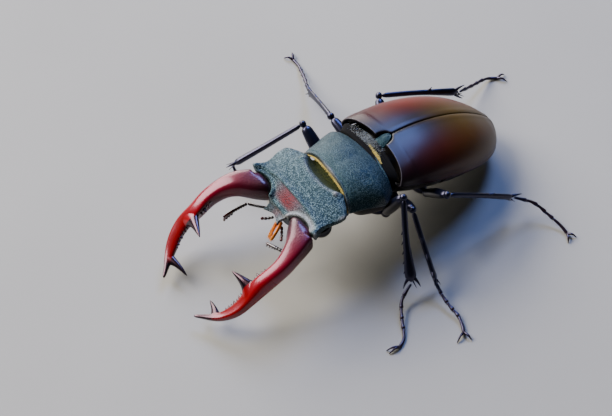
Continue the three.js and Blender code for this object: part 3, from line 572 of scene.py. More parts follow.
def wing_case(word, side):
    """An arched shell with a sunk seam, a shoulder bump, a beaded side edge and a turned-in front rim."""

    def form(u, v):
        front = max(0.0, 1 - v / 0.05)  # the first rows turn down into the rim that meets the neck
        t = (1 - math.cos(math.pi * max(0.0, (v - 0.05) / 0.95))) / 2
        y = mix(WING_FRONT, WING_BACK, t)
        turn = min(1.0, u / 0.9)
        angle = math.pi / 2 * (1 - turn)
        share = power(math.cos(angle), 2 / 2.25)
        place = y + BASE_HOLLOW * (1 - share**2) * (1 - t) ** 4
        width, edge = wing_half_width(place), wing_edge(place)
        t = (place - WING_FRONT) / (WING_BACK - WING_FRONT)
        arch = (along(CROWN, t) - edge) * round_end(1 - t, 0.035)
        x = width * share * (1 - 0.1 * front)
        z = arch * power(math.sin(angle), 2 / 2.25) * (1 - 0.3 * front)
        place += 0.6 * front**2
        z += 0.12 * bell(x, 7.4, 1.6) * bell(place, 3.6, 2.4)  # shoulder bump
        z += 0.06 * bell(x, 0.95, 0.4) * ease(3, 6, place)  # ridge beside the seam
        z -= 0.04 * bell(x, 0.0, 0.15) * ease(0, 0.2, width)  # sunk seam
        x += 0.14 * bell(turn, 0.97, 0.025) * ease(0.4, 3, width)  # bead along the side
        fold = max(0.0, (u - 0.9) / 0.1)
        x -= 1.3 * fold**1.4 * ease(0, 3, width)
        z -= 0.7 * fold**0.6 * ease(0, 3, width)
        inner = 0.015 + max(0.0, shield_half_width(place) + 0.16) * (1 if place < SHIELD_BACK + 0.1 else 0)
        x = inner + x * (width + 0.2 - inner) / (width + 0.2) if width > 0.3 else max(x, 0.06)
        return Vector((side * x, place, edge + z))

    shell = pressed(f"wing_case_{word}", form, 44, 96, wall=0.3)
    # the right wing case gets more red: painted back light through its thin chitin
    mark(shell, "redness", lambda i, p: WING_REDNESS_WITH_BACKLIGHT[word])
    return settle(shell, TRUNK, WING, "wing_cases", f"elytron_{word}")


def shield():
    """The scutellum: a small round shield between the wing cases, dipped along its middle, with a low rim."""

    def form(u, v):
        t = v * 0.995
        y = mix(SHIELD_FRONT, SHIELD_BACK, t)
        half = shield_half_width(y)
        x = half * math.sin(math.pi / 2 * (2 * u - 1))
        crown = SHIELD_TOP - 1.5 * (1 - t) ** 1.6
        z = crown - 0.55 * (x / SHIELD_HALF) ** 2 - 0.1 * bell(x, 0, 0.7) * (1 - t)
        return Vector((x, y, z + 0.08 * bell(abs(x) - half, -0.2, 0.15)))

    plate = pressed("scutellum_shield", form, 26, 26, wall=0.7)
    modify(plate, "BEVEL", width=0.08, segments=2, limit_method="ANGLE")
    return settle(plate, TRUNK, PLATE, "head_plates", "scutellum")


def belly_half_width(y):
    return wing_half_width(min(y, WING_BACK - 0.9)) * mix(0.86, 0.9, ease(WING_FRONT, 6, y)) - 0.1


def underside(name, node, first, last, bands, groove):
    """A closed length of the underside, its belly plates each a little proud of the next."""

    def form(u, v):
        t = min(1.0, max(0.0, (v - 0.015) / 0.97))
        y = mix(first, last, t)
        width = belly_half_width(y)
        reach = max(0.0, (y - WAIST) / (WING_BACK - WAIST))
        depth = BELLY_DEPTH * (1 - 0.72 * reach**1.6)
        share = (t * bands) % 1 if bands else 0.0
        depth += 0.24 * share * (1 - ease(0.93, 1.0, share))
        top = wing_edge(y) - 0.3
        if u < 0.75:
            angle = math.pi * u / 0.75
            x = width * power(math.cos(angle), 0.85)
            z = top - depth * power(math.sin(angle), 0.9)
            z += groove * bell(x, 0, 0.5) * (1 - t)
        else:
            x, z = mix(-width, width, (u - 0.75) / 0.25), top
        if at_end(v):
            x, z = 0.0, top - depth * 0.5
        return Vector((x, y, z))

    part = pressed(name, form, 60, max(24, bands * 16), closed=True)
    return settle(part, TRUNK, BELLY, "belly", node)


# ---------- fore body ----------

NECK_FRONT, NECK_BACK = -8.85, 0.15


def neck_half_width(y):
    if y > -3.1:
        return mix(10.1, 8.1, ((y + 3.1) / (NECK_BACK + 3.1)) ** 1.15)
    return mix(7.9, 10.1, ease(NECK_FRONT - 1.2, -1.5, y) ** 0.85)


def neck_form(u, v):
    """Upper side of the pronotum, u from the left edge over the top to the right, v from front to back."""
    t = (1 - math.cos(math.pi * v)) / 2
    y = mix(NECK_FRONT, NECK_BACK, t)
    share = min(1.0, max(0.0, (u - 0.04) / 0.92))
    angle = math.pi * share
    width = neck_half_width(y)
    arch = 4.7 * (0.84 + 0.16 * math.sin(math.pi * min(1.0, t * 1.08))) - 0.25 * t
    rolled = 1 - 0.07 * (1 - round_end(min(t, 1 - t), 0.03))
    x = width * power(math.cos(angle), 2 / 2.35)
    z = -1.0 + arch * rolled * power(math.sin(angle), 2 / 2.35)
    reach = (x / 7.9) ** 2
    y -= 0.9 * (1 - ease(0, 0.3, t)) * ease(0.2, 1.1, reach) + 0.5 * ease(0.7, 1, t) * min(reach, 1.2)
    side = abs(x)
    z -= 0.12 * bell(x, 0, 0.6) * bell(t, 0.5, 0.33)  # faint groove along the middle
    z -= 0.14 * bell(side, 5.6, 0.8) * bell(y, -4.4, 0.9)  # a shallow pit each side
    z -= 0.12 * bell(t, 0.06, 0.025)  # channel behind the front rim
    z -= 0.1 * bell(t, 0.95, 0.02)
    x += math.copysign(0.13 * bell(share if share < 0.5 else 1 - share, 0.025, 0.018), x)  # beaded side edge
    fold = max(0.0, (0.04 - min(u, 1 - u)) / 0.04)
    x -= math.copysign(0.9 * fold, x)
    z -= 0.3 * fold**0.6
    z -= 0.5 * (1 - ease(0, 0.006, min(t, 1 - t)))
    return Vector((x, y, z))


def pronotum():
    plate = pressed("pronotum_shield", neck_form, 96, 56, wall=0.35)

    # pale front rim and side edges: partly rubbed wear, partly painted highlight where the edges catch the
    # light
    def worn(i, p):
        side = abs(p.x)
        return 0.5 * bell(p.y + 0.12 * side, NECK_FRONT, 0.35) + 0.25 * bell(side, 9.9, 0.4)

    mark(plate, "worn", worn)
    # how strongly the painted glints of the grain show: weaker on the smoother pronotum
    mark(plate, "coarse", lambda i, p: 0.34)
    return settle(plate, FORE, PLATE, "head_plates", "pronotum")


def breast():
    """Underside of the fore body, with a keel between the front hips."""

    def form(u, v):
        t = min(1.0, max(0.0, (v - 0.03) / 0.94))
        y = mix(NECK_FRONT + 0.9, NECK_BACK - 0.4, t)
        front = round_end(t, 0.22)
        width = neck_half_width(y) * 0.93 * mix(0.82, 1, front)
        depth = 5.6 * mix(0.78, 1, math.sin(math.pi * min(1.0, t + 0.1)) ** 0.6) * mix(0.5, 1, front)
        if u < 0.75:
            angle = math.pi * u / 0.75
            x, z = width * power(math.cos(angle), 1.15), -1.3 - depth * power(math.sin(angle), 0.8)
            z -= 0.3 * bell(x, 0, 0.6) * ease(0.3, 0.7, t)
        else:
            x, z = mix(-width, width, (u - 0.75) / 0.25), -1.3
        if at_end(v):
            x, z = 0.0, -3.5
        return Vector((x, y, z))

    part = pressed("breast_plate", form, 56, 26, closed=True)
    return settle(part, FORE, BELLY, "belly", "prosternum")


# ---------- head ----------

HEAD_BACK, HEAD_FRONT, HORN_AT = 1.8, -10.9, -9.6
SOCKET = (6.2, -11.35)  # middle of a mandible's socket, left side
EYE_AT, EYE_SIZE = Vector((7.95, -6.9, -1.9)), Vector((1.45, 1.8, 1.5))


def head_half_width(y):
    if y > 0:
        return mix(5.0, 5.6, y / HEAD_BACK)
    if y > -3.2:
        return mix(5.0, 9.95, math.sin(math.pi / 2 * -y / 3.2) ** 1.1)
    if y > -7:
        return mix(9.95, 9.25, ease(3.6, 7, -y))
    if y > HORN_AT:
        return min(10.1, mix(9.25, 10.4, ((-7 - y) / (-7 - HORN_AT)) ** 2.2))
    return min(10.1, mix(10.4, 2.9, ((HORN_AT - y) / (HORN_AT - HEAD_FRONT)) ** 0.8))


def crest_line(side):
    return -2.55 + 1.6 * (side / 5.4) ** 3


def brow_line(side):
    return -7.45 - 1.25 * ease(4.3, 9, side)


def socket_ring(x, y):
    """1 on the middle of the collar round a mandible's socket, less inside it."""
    return math.hypot((abs(x) - SOCKET[0]) / 3.45, (y - SOCKET[1]) / 2.85)


def head_top(x, y):
    """Height of the head's upper side: a flat crown that ends behind in a low bowed crest over a sunk nape,
    and in front in a ridge like a brow, a forehead that slopes to the mouth, and a collar at each socket."""
    side, width = abs(x), head_half_width(y)
    rim = min(1.0, side / width)
    z = mix(1.25, 0.45 + 0.6 * ease(5, 9.7, -y), rim**3)
    past_crest = y - crest_line(side)
    inside = 1 - ease(4.9, 6.8, side)
    z += 0.12 * bell(past_crest, 0, 0.4 if past_crest > 0 else 2.4) * inside
    z -= 1.9 * ease(-0.15, 2.1, past_crest) * inside
    z += 0.3 * bell(side, 5.2, 0.45) * bell(y, -1.6, 0.5)  # tubercle that ends the crest
    past_brow = brow_line(side) - y
    z += 0.14 * bell(past_brow, 0, 0.2 if past_brow > 0 else 0.6) * (1 - ease(4.4, 7.8, side))
    z -= 0.14 * ease(0.0, 0.3, past_brow) * (1 - ease(6.0, 8.6, side))
    z -= 1.35 * ease(0.1, 3.6, past_brow) * (1 - ease(7.5, 9.6, side))
    z += 0.4 * bell(side, 9.6, 1.2) * bell(y, HORN_AT + 0.3, 1.3)  # knob of the horn over the eye
    ring = socket_ring(x, y)
    z = mix(z, 0.35, 0.8 * bell(ring, 1.0, 0.16) * (1 - ease(8.2, 9.6, side)))
    z += 0.3 * bell(ring, 0.98, 0.12) * (1 - ease(8.4, 9.8, side))
    return mix(z, -3.7, 1 - ease(0.76, 0.86, ring))


def head_bottom(x, y):
    width = head_half_width(y)
    depth = mix(3.9, 5.2, math.sin(math.pi * (y - HEAD_BACK) / (HEAD_FRONT - HEAD_BACK)) ** 0.8)
    shelf = min(width, 8.4) / width
    return -depth * max(0.0, 1 - min(1.0, abs(x) / (width * shelf)) ** 2.4) ** 0.6 - 0.5


def head_capsule():
    def form(u, v):
        t = min(1.0, max(0.0, (v - 0.01) / 0.98))
        y = mix(HEAD_BACK, HEAD_FRONT, t)
        width = head_half_width(y)
        u = 0.0 if u > 0.999 else u  # the last column closes on the first
        upper = u < 0.6
        share = math.sin(math.pi / 2 * (1 - 2 * (u / 0.6 if upper else (1 - u) / 0.4)))
        x = width * share
        z = head_top(x, y) if upper else min(head_bottom(x, y), head_top(x, y) - 0.2)
        if at_end(v):
            x, z = 0.0, -2.2
        return Vector((x, y, z))

    shell = pressed("head_capsule", form, 200, 110, closed=True, levels=0)
    modify(shell, "REMESH", mode="VOXEL", voxel_size=0.13)
    shell = biggest_part(shell)
    modify(shell, "SMOOTH", factor=0.5, iterations=3)

    def brow(i, p):
        past = brow_line(abs(p.x)) - p.y
        band = ease(0.05, 0.4, past) * (1 - ease(2.0, 3.0, past))
        return bell(p.x, 0.2, 2.9) * band * ease(1.1, 1.25, socket_ring(p.x, p.y))

    def nape(i, p):
        return ease(0.1, 0.9, p.y - crest_line(abs(p.x))) * (1 - ease(5.2, 6.4, abs(p.x)))

    def worn(i, p):
        side = abs(p.x)
        top = ease(-0.6, 0.1, p.z)
        most = 0.6 if p.x > 0 else 0.0  # only the left socket's collar gets this, a painted highlight where it catches the light
        collar = most * bell(socket_ring(p.x, p.y), 1.02, 0.17) * (1 - ease(8.0, 9.6, side)) * top
        horn = 0.6 * bell(side, 10.3, 0.5) * bell(p.y, HORN_AT, 0.6)
        temple = 0.4 * bell(side, 9.8, 0.3) * bell(p.y, -3.4, 0.9) * top
        # painted highlight on the left crest tubercle only
        knob = 0.6 * bell(p.x, 5.2, 0.35) * bell(p.y, -1.6, 0.45)
        crest = 0.15 * bell(p.y, crest_line(side), 0.35) * (1 - ease(4.6, 6, side))
        return min(1.0, collar + horn + temple + knob + crest)

    mark(shell, "brow", brow)
    mark(shell, "nape", nape)
    # full strength painted glints on the coarsely granulate head
    mark(shell, "coarse", lambda i, p: 1.0)
    mark(shell, "worn", worn)
    return settle(shell, HEAD, PLATE, "head_plates", "head")


def eye(word, side):
    """A domed eye, notched across the middle where the horn of the head grips it."""
    sphere = bpy.ops.mesh.primitive_uv_sphere_add
    ball = start(f"eye_dome_{word}", sphere, segments=40, ring_count=24, radius=1)
    bpy.ops.object.mode_set(mode="EDIT")
    bpy.ops.mesh.select_all(action="SELECT")
    bpy.ops.transform.resize(value=EYE_SIZE)
    bpy.ops.object.mode_set(mode="OBJECT")
    for p in ball.data.vertices:
        p.co *= 1 - 0.1 * bell(p.co.z, 0.35, 0.16)
        p.co += Vector((side * EYE_AT.x, EYE_AT.y, EYE_AT.z))
    subdivide(ball, 1)
    return settle(ball, HEAD, EYE, "eyes", f"eye_{word}")


def lip():
    """The clypeus and labrum: a small dished plate that ends in two blunt points."""

    def form(u, v):
        across = 2 * u - 1
        half = mix(2.75, 1.95, v) + 0.35 * bell(v, 0.92, 0.15)
        x = half * across
        y = mix(-10.4, -12.85 + 1.1 * (1 - abs(across) ** 1.3), v)
        z = -1.05 - 0.75 * v + 0.3 * across**2 * (1 - 0.4 * v) - 0.25 * bell(v, 0.35, 0.12)
        return Vector((x, y, z))

    plate = pressed("lip_plate", form, 26, 22, wall=0.6)
    modify(plate, "BEVEL", width=0.08, segments=2, limit_method="ANGLE")
    # painted glints of the grain at part strength on the lip
    mark(plate, "coarse", lambda i, p: 0.6)
    # a little rubbed all over, with a painted highlight on the left point of the lip only
    mark(plate, "worn", lambda i, p: 0.1 + 0.35 * bell(p.x, 2.3, 0.5))
    mark(plate, "brow", lambda i, p: 0.5 * bell(p.x, 0.3, 1.1) * bell(p.y, -11.6, 0.8))
    return settle(plate, HEAD, PLATE, "head_plates", "labrum")


# ---------- mandibles ----------

JAW_LINE = [
    (5.9, -10.4, -0.95), (9.6, -14.1, -0.4), (10.95, -18.4, -1.4), (10.9, -22.6, -3.25),
    (10.1, -26.8, -5.45), (8.2, -30.6, -7.3), (5.1, -34.0, -7.5),
]
JAW_HALF_WIDTH = [2.6, 2.05, 1.5, 1.35, 1.3, 1.05, 0.62, 0.26]
JAW_HALF_HEIGHT = [2.25, 2.0, 1.7, 1.5, 1.25, 0.95, 0.6, 0.26]
JAW_SWING = {"left": -1.1, "right": 1.1}  # degrees outward
# How far the blade lies outward of that line, tenth by tenth of its length: no two jaws are quite alike.
JAW_BOW = {
    "left": [0.25, 0.5, 0.05, 0, -0.3, -0.4, -0.3, 0.2, 0.15, 0, 0],
    "right": [0, 0, -0.27, -0.2, -0.05, 0.13, 0.6, 0.67, 0.4, 0.1, 0],
}
JAW_BREADTH = {
    "left": [1.2, 1.12, 1.04, 1.04, 1.06, 1.07, 1.06, 1.02, 1.05, 1.05, 1],
    "right": [1, 1.02, 1.08, 1.1, 1.12, 1.18, 1.1, 1.15, 1.3, 1.15, 1],
}
# How far outward of the middle the upper ridge runs, and how it rises, then falls away past the main tooth.
JAW_RIDGE = [0.6, 0.55, 0.35, 0.05, -0.35, -0.75, -0.1, 0, 0, 0, 0]
JAW_CREST = [1, 1, 1.02, 1.06, 1.1, 1.14, 0.92, 0.86, 0.95, 1, 1]
JAW_SIDES, JAW_RINGS, JAW_SQUARENESS = 24, 38, 3.3
JAW_LEAN = 0.42  # how strongly the ridge pulls the upper side outward
JAW_READINGS = 60  # steps along the blade at which its points are told apart
# Where each large tooth roots, its tip on each side, and its half sizes along and up the blade, root to tip.
MAIN_TOOTH = (
    0.545, {"left": (4.8, -24.4, -2.2), "right": (4.9, -25.0, -2.2)},
    [3.3, 2.5, 1.75, 1.25, 0.92, 0.7, 0.5, 0.3, 0.1], [1.2, 1.1, 0.95, 0.82, 0.7, 0.56, 0.42, 0.28, 0.1],
)
FORK_TOOTH = (
    0.85, {"left": (3.95, -29.8, -7.9), "right": (2.95, -30.2, -7.8)},
    [1.15, 0.98, 0.8, 0.66, 0.54, 0.44, 0.34, 0.22, 0.08],
    [0.6, 0.58, 0.52, 0.46, 0.4, 0.34, 0.28, 0.2, 0.08],
)
# Where each small tooth stands along the blade, and its size.
SMALL_TEETH = [
    (0.385, 0.45), (0.415, 0.6), (0.45, 0.85), (0.48, 0.6), (0.62, 0.45), (0.645, 0.6),
    (0.67, 0.45), (0.695, 0.6), (0.72, 0.45), (0.745, 0.5), (0.77, 0.4),
]


def jaw(word, side):
    """A curved blade whose upper ridge runs from the outer edge at the root into a tall main tooth, with a
    forked tip and two rows of small teeth, all moulded into one."""
    line = Line(*[(side * x, y, z) for x, y, z in JAW_LINE])

    def section(s):
        ahead = Vector((0, -1, 0)).lerp(line.ahead(s), ease(-0.02, 0.14, s)).normalized()
        outward = ahead.cross(Vector((0, 0, 1))).normalized()
        outward *= side if outward.x > 0 else -side
        up = outward.cross(ahead) * side
        up *= 1 if up.z > 0 else -1
        middle = line.at(s) + outward * along(JAW_BOW[word], s)
        wide = along(JAW_HALF_WIDTH, s) * along(JAW_BREADTH[word], s)
        return middle, ahead, outward, up, wide, along(JAW_HALF_HEIGHT, s)

    # How far back a ring lies, its share of full size and its place along the blade, the rounded root first.
    stations = [(-1.3, 0.35, 0.0), (-1.15, 0.6, 0.0), (-0.75, 0.88, 0.0)]
    stations += [(0.0, 1.0, i / (JAW_RINGS - 1) * 0.985) for i in range(JAW_RINGS)]
    rings, shares = [], []
    for back, grown, s in stations:
        middle, ahead, outward, up, wide, high = section(s)
        rings.append((middle + ahead * back, outward, up, wide * grown, high * grown))
        shares.append(s)
    rings.append((line.at(0.997), outward, up, 0.1, 0.1))
    shares.append(1.0)
    blade = skin("blade", rings, JAW_SIDES, levels=0, squareness=JAW_SQUARENESS)
    for i, p in enumerate(blade.data.vertices):
        middle, outward, up, wide, high = rings[i // JAW_SIDES]
        s = shares[i // JAW_SIDES]
        height = (p.co - middle).dot(up) / high
        if height > 0:
            p.co += outward * wide * JAW_LEAN * along(JAW_RIDGE, s) * height**1.4
            p.co += up * high * height**2 * (along(JAW_CREST, s) - 1)
    subdivide(blade, 1)
    parts = [blade]
    for at, tips, lengthwise, upright in (MAIN_TOOTH, FORK_TOOTH):
        middle, ahead, outward, up, wide, high = section(at)
        tip = mirrored(tips[word], side)
        root = middle + outward * wide * 0.2
        tooth = Line(root, root.lerp(tip, 0.5) - ahead * 0.25 + up * 0.1, tip)
        size = lambda s, a=lengthwise, b=upright: [along(a, s), along(b, s)]
        parts.append(limb("tooth", tooth, size, 18, sides=16, broad=ahead))
    for s, size in SMALL_TEETH:
        middle, _, outward, up, wide, high = section(s)
        root = middle - outward * wide * 0.7 + up * high * 0.3
        tip = middle - outward * (wide + 1.2 * size) + up * high * 0.5
        parts.append(spike("small_tooth", root, tip, size * 0.8, sharp=0.09))
    whole = joined(f"jaw_{word}", parts)
    modify(whole, "REMESH", mode="VOXEL", voxel_size=0.1)
    modify(whole, "SMOOTH", factor=0.5, iterations=2)

    readings = [section(i / JAW_READINGS) for i in range(JAW_READINGS + 1)]
    tips = [mirrored(tooth[1][word], side) for tooth in (MAIN_TOOTH, FORK_TOOTH)]

    def place_of(p):
        i = min(range(len(readings)), key=lambda k: (readings[k][0] - p).length_squared)
        return i / JAW_READINGS, readings[i]

    found = [place_of(p.co) for p in whole.data.vertices]
    mark(whole, "reach", lambda i, p: found[i][0])

    def black(i, p):
        s, (middle, _, outward, _, wide, _) = found[i]
        inner = (middle - p).dot(outward) / wide
        edge = ease(0.86, 1.06, inner) * ease(0.2, 0.36, s)
        end = ease(0.84, 0.9, s)
        tooth = max(1 - ease(0.8, 2.1, (p - t).length) for t in tips)
        return min(1.0, max(edge, end, tooth))

    mark(whole, "black", black)
    pivot = Matrix.Translation(Vector((side * 6.6, -11, 0)))
    swing = pivot @ Matrix.Rotation(math.radians(side * JAW_SWING[word]), 4, "Z") @ pivot.inverted()
    return settle(whole, HEAD @ swing, HORN, "mandibles", f"mandible_{word}")


# ---------- feelers and mouthparts ----------

FEELER_ROOT, FEELER_ELBOW = Vector((3.9, -11.5, -4.3)), Vector((7.6, -13.6, -5.0))
CLUB_TIPS = {"left": Vector((1.8, -15.7, -5.0)), "right": Vector((-6.9, -19.1, -3.4))}
PALP_ROOT = Vector((1.3, -11.7, -4.1))
PALP_TIPS = {"left": Vector((3.9, -13.6, -4.0)), "right": Vector((-2.6, -13.8, -4.0))}
BEADS, LEAVES = 6, 4  # of a feeler's string and club


def feeler(word, side):
    """An elbowed antenna: a long smooth shaft, a string of small beads, and a club of four hanging leaves."""
    root, elbow, tip = mirrored(FEELER_ROOT, side), mirrored(FEELER_ELBOW, side), CLUB_TIPS[word]
    shaft_line = Line(root, root.lerp(elbow, 0.5) + Vector((0, -0.15, 0.1)), elbow)
    size = lambda s: [mix(0.24, 0.36, s**2) * round_end(min(s, 1 - s), 0.08) + 0.02] * 2
    shaft = limb("shaft", shaft_line, size, 14, sides=10)
    mark(shaft, "along", lambda i, p: 0.35)
    shaft = settle(joined(f"feeler_shaft_{word}", [shaft]), HEAD, FEELER, "feelers", f"antenna_scape_{word}")
    start_at = elbow + (tip - elbow).normalized() * 0.15
    line = Line(start_at, start_at.lerp(tip, 0.5) + Vector((0, 0, 0.12)), tip)

    def bead(s):
        if s > 0.62:
            return [mix(0.36, 0.2, (s - 0.62) / 0.38) * round_end(1.01 - s, 0.05)] * 2
        swell = abs(math.sin(s / 0.62 * BEADS * math.pi)) ** 0.7
        return [(0.2 + 0.16 * swell) * round_end(s + 0.01, 0.04)] * 2

    parts = [limb("beads", line, bead, 49, sides=8)]
    for k in range(LEAVES):
        share = k / (LEAVES - 1)
        foot = line.at(mix(0.64, 0.95, share))
        ahead = line.ahead(0.8)
        end = foot + Vector((0, 0, -mix(0.85, 1.25, share))) + ahead * 0.4
        leaf = Line(foot, foot.lerp(end, 0.5) - ahead * 0.1, end)
        size = lambda s: [0.34 * math.sin(math.pi * mix(0.18, 0.93, s)) ** 0.6, 0.15]
        parts.append(limb("leaf", leaf, size, 7, sides=8, broad=ahead.cross(Vector((0, 0, 1)))))
    club = joined(f"feeler_club_{word}", parts)
    mark(club, "along", lambda i, p: min(1.0, (p - start_at).length / (tip - start_at).length) ** 1.5)
    return shaft, settle(club, HEAD, FEELER, "feelers", f"antenna_club_{word}")


def palp(word, side):
    """A jointed mouth feeler of four short segments, thickest at the end."""
    root, tip = mirrored(PALP_ROOT, side), PALP_TIPS[word]
    line = Line(root, root.lerp(tip, 0.5) + Vector((0, 0, -0.2)), tip)
    size = lambda s: [(0.15 + 0.13 * abs(math.sin(min(0.999, s) * 4 * math.pi)) ** 0.5 + 0.03 * s)
                      * round_end(min(s, 1 - s) + 0.02, 0.06)] * 2
    rod = limb(f"mouth_palp_{word}", line, size, 33, sides=10)
    return settle(rod, HEAD, FEELER, "feelers", f"palp_{word}")


# ---------- legs ----------

FOOT = 0.26  # height of the foot's middle line where it lies on the floor
# Hip, root of the thigh, knee and ankle, then the places the foot bends at. `edge` is the way the spined
# edge of the shin faces. Without one it faces up and a little out.
LEGS = {
    "front_left": {
        "hip": (4.6, -3.4, 8.2), "root": (8.0, -0.8, 6.7),
        "knee": (13.2, -0.7, 16.8), "ankle": (22.1, -4.0, 3.6),
        "edge": (-0.4, -0.9, 0),
        "toes": [(23.3, -6.7, 1.9), (26.5, -8.7, 0.9), (29.6, -10.2, FOOT), (31.0, -12.2, FOOT)],
        "claws": [(30.2, -15.0), (31.2, -14.9)],
    },
    "middle_left": {
        "hip": (4.2, 1.4, 7.6), "root": (6.7, 2.7, 6.9),
        "knee": (14.1, 0.8, 13.3), "ankle": (23.7, 0.3, 2.8),
        "edge": (0.6, -0.5, 0.6),
        "toes": [(25.7, 0.1, 1.9), (28.5, 0.2, 1.2), (31.4, 0.5, 0.7), (34.3, -0.5, FOOT)],
        "claws": [(35.6, -3.2), (36.8, 0.0)],
    },
    "hind_left": {
        "hip": (3.9, 8.3, 5.7), "root": (6.7, 9.0, 5.0),
        "knee": (14.5, 7.9, 13.3), "ankle": (15.9, 22.4, 5.0),
        "toes": [(18.0, 25.8, 3.4), (20.6, 27.3, 1.9), (23.6, 28.4, 0.8), (25.6, 28.6, FOOT)],
        "claws": [(27.6, 27.3), (27.2, 29.9)],
    },
    "front_right": {
        "hip": (-2.3, -3.5, 8.2), "root": (-5.6, -4.6, 6.8),
        "knee": (-14.3, -5.2, 12.2), "ankle": (-18.7, -18.2, 3.6),
        "edge": (-0.5, 0.2, -0.85),
        "toes": [(-17.5, -18.0, 1.9), (-15.4, -17.0, 0.9), (-12.6, -15.9, FOOT), (-10.6, -15.1, FOOT)],
        "claws": [(-8.2, -15.2), (-8.6, -13.2)],
    },
    "middle_right": {
        "hip": (-4.2, 1.4, 7.6), "root": (-6.7, 2.7, 6.8),
        "knee": (-15.3, 1.5, 9.4), "ankle": (-27.9, 4.0, 3.2),
        "toes": [(-32.0, 5.6, 1.8), (-35.4, 6.6, 0.9), (-38.2, 7.2, FOOT), (-39.4, 7.0, FOOT)],
        "claws": [(-41.0, 5.4), (-41.6, 8.1)],
    },
    "hind_right": {
        "hip": (-5.2, 7.8, 5.7), "root": (-7.9, 9.8, 4.5),
        "knee": (-16.2, 12.7, 8.1), "ankle": (-11.4, 28.5, 4.9),
        "toes": [(-13.1, 33.0, 2.7), (-14.3, 36.6, 1.3), (-14.6, 38.6, FOOT), (-13.9, 39.8, FOOT)],
        "claws": [(-14.2, 42.0), (-11.9, 41.2)],
    },
}
# By pair: hip radius, half sizes of the thigh and of the shin's end, spines on the shin, and their length.
LEG_BUILD = {
    "front": (1.6, (1.35, 1.05), (1.05, 0.68), 5, 0.35),
    "middle": (1.45, (1.15, 0.9), (0.9, 0.5), 3, 0.6),
    "hind": (1.4, (1.15, 0.9), (0.85, 0.5), 1, 0.8),
}


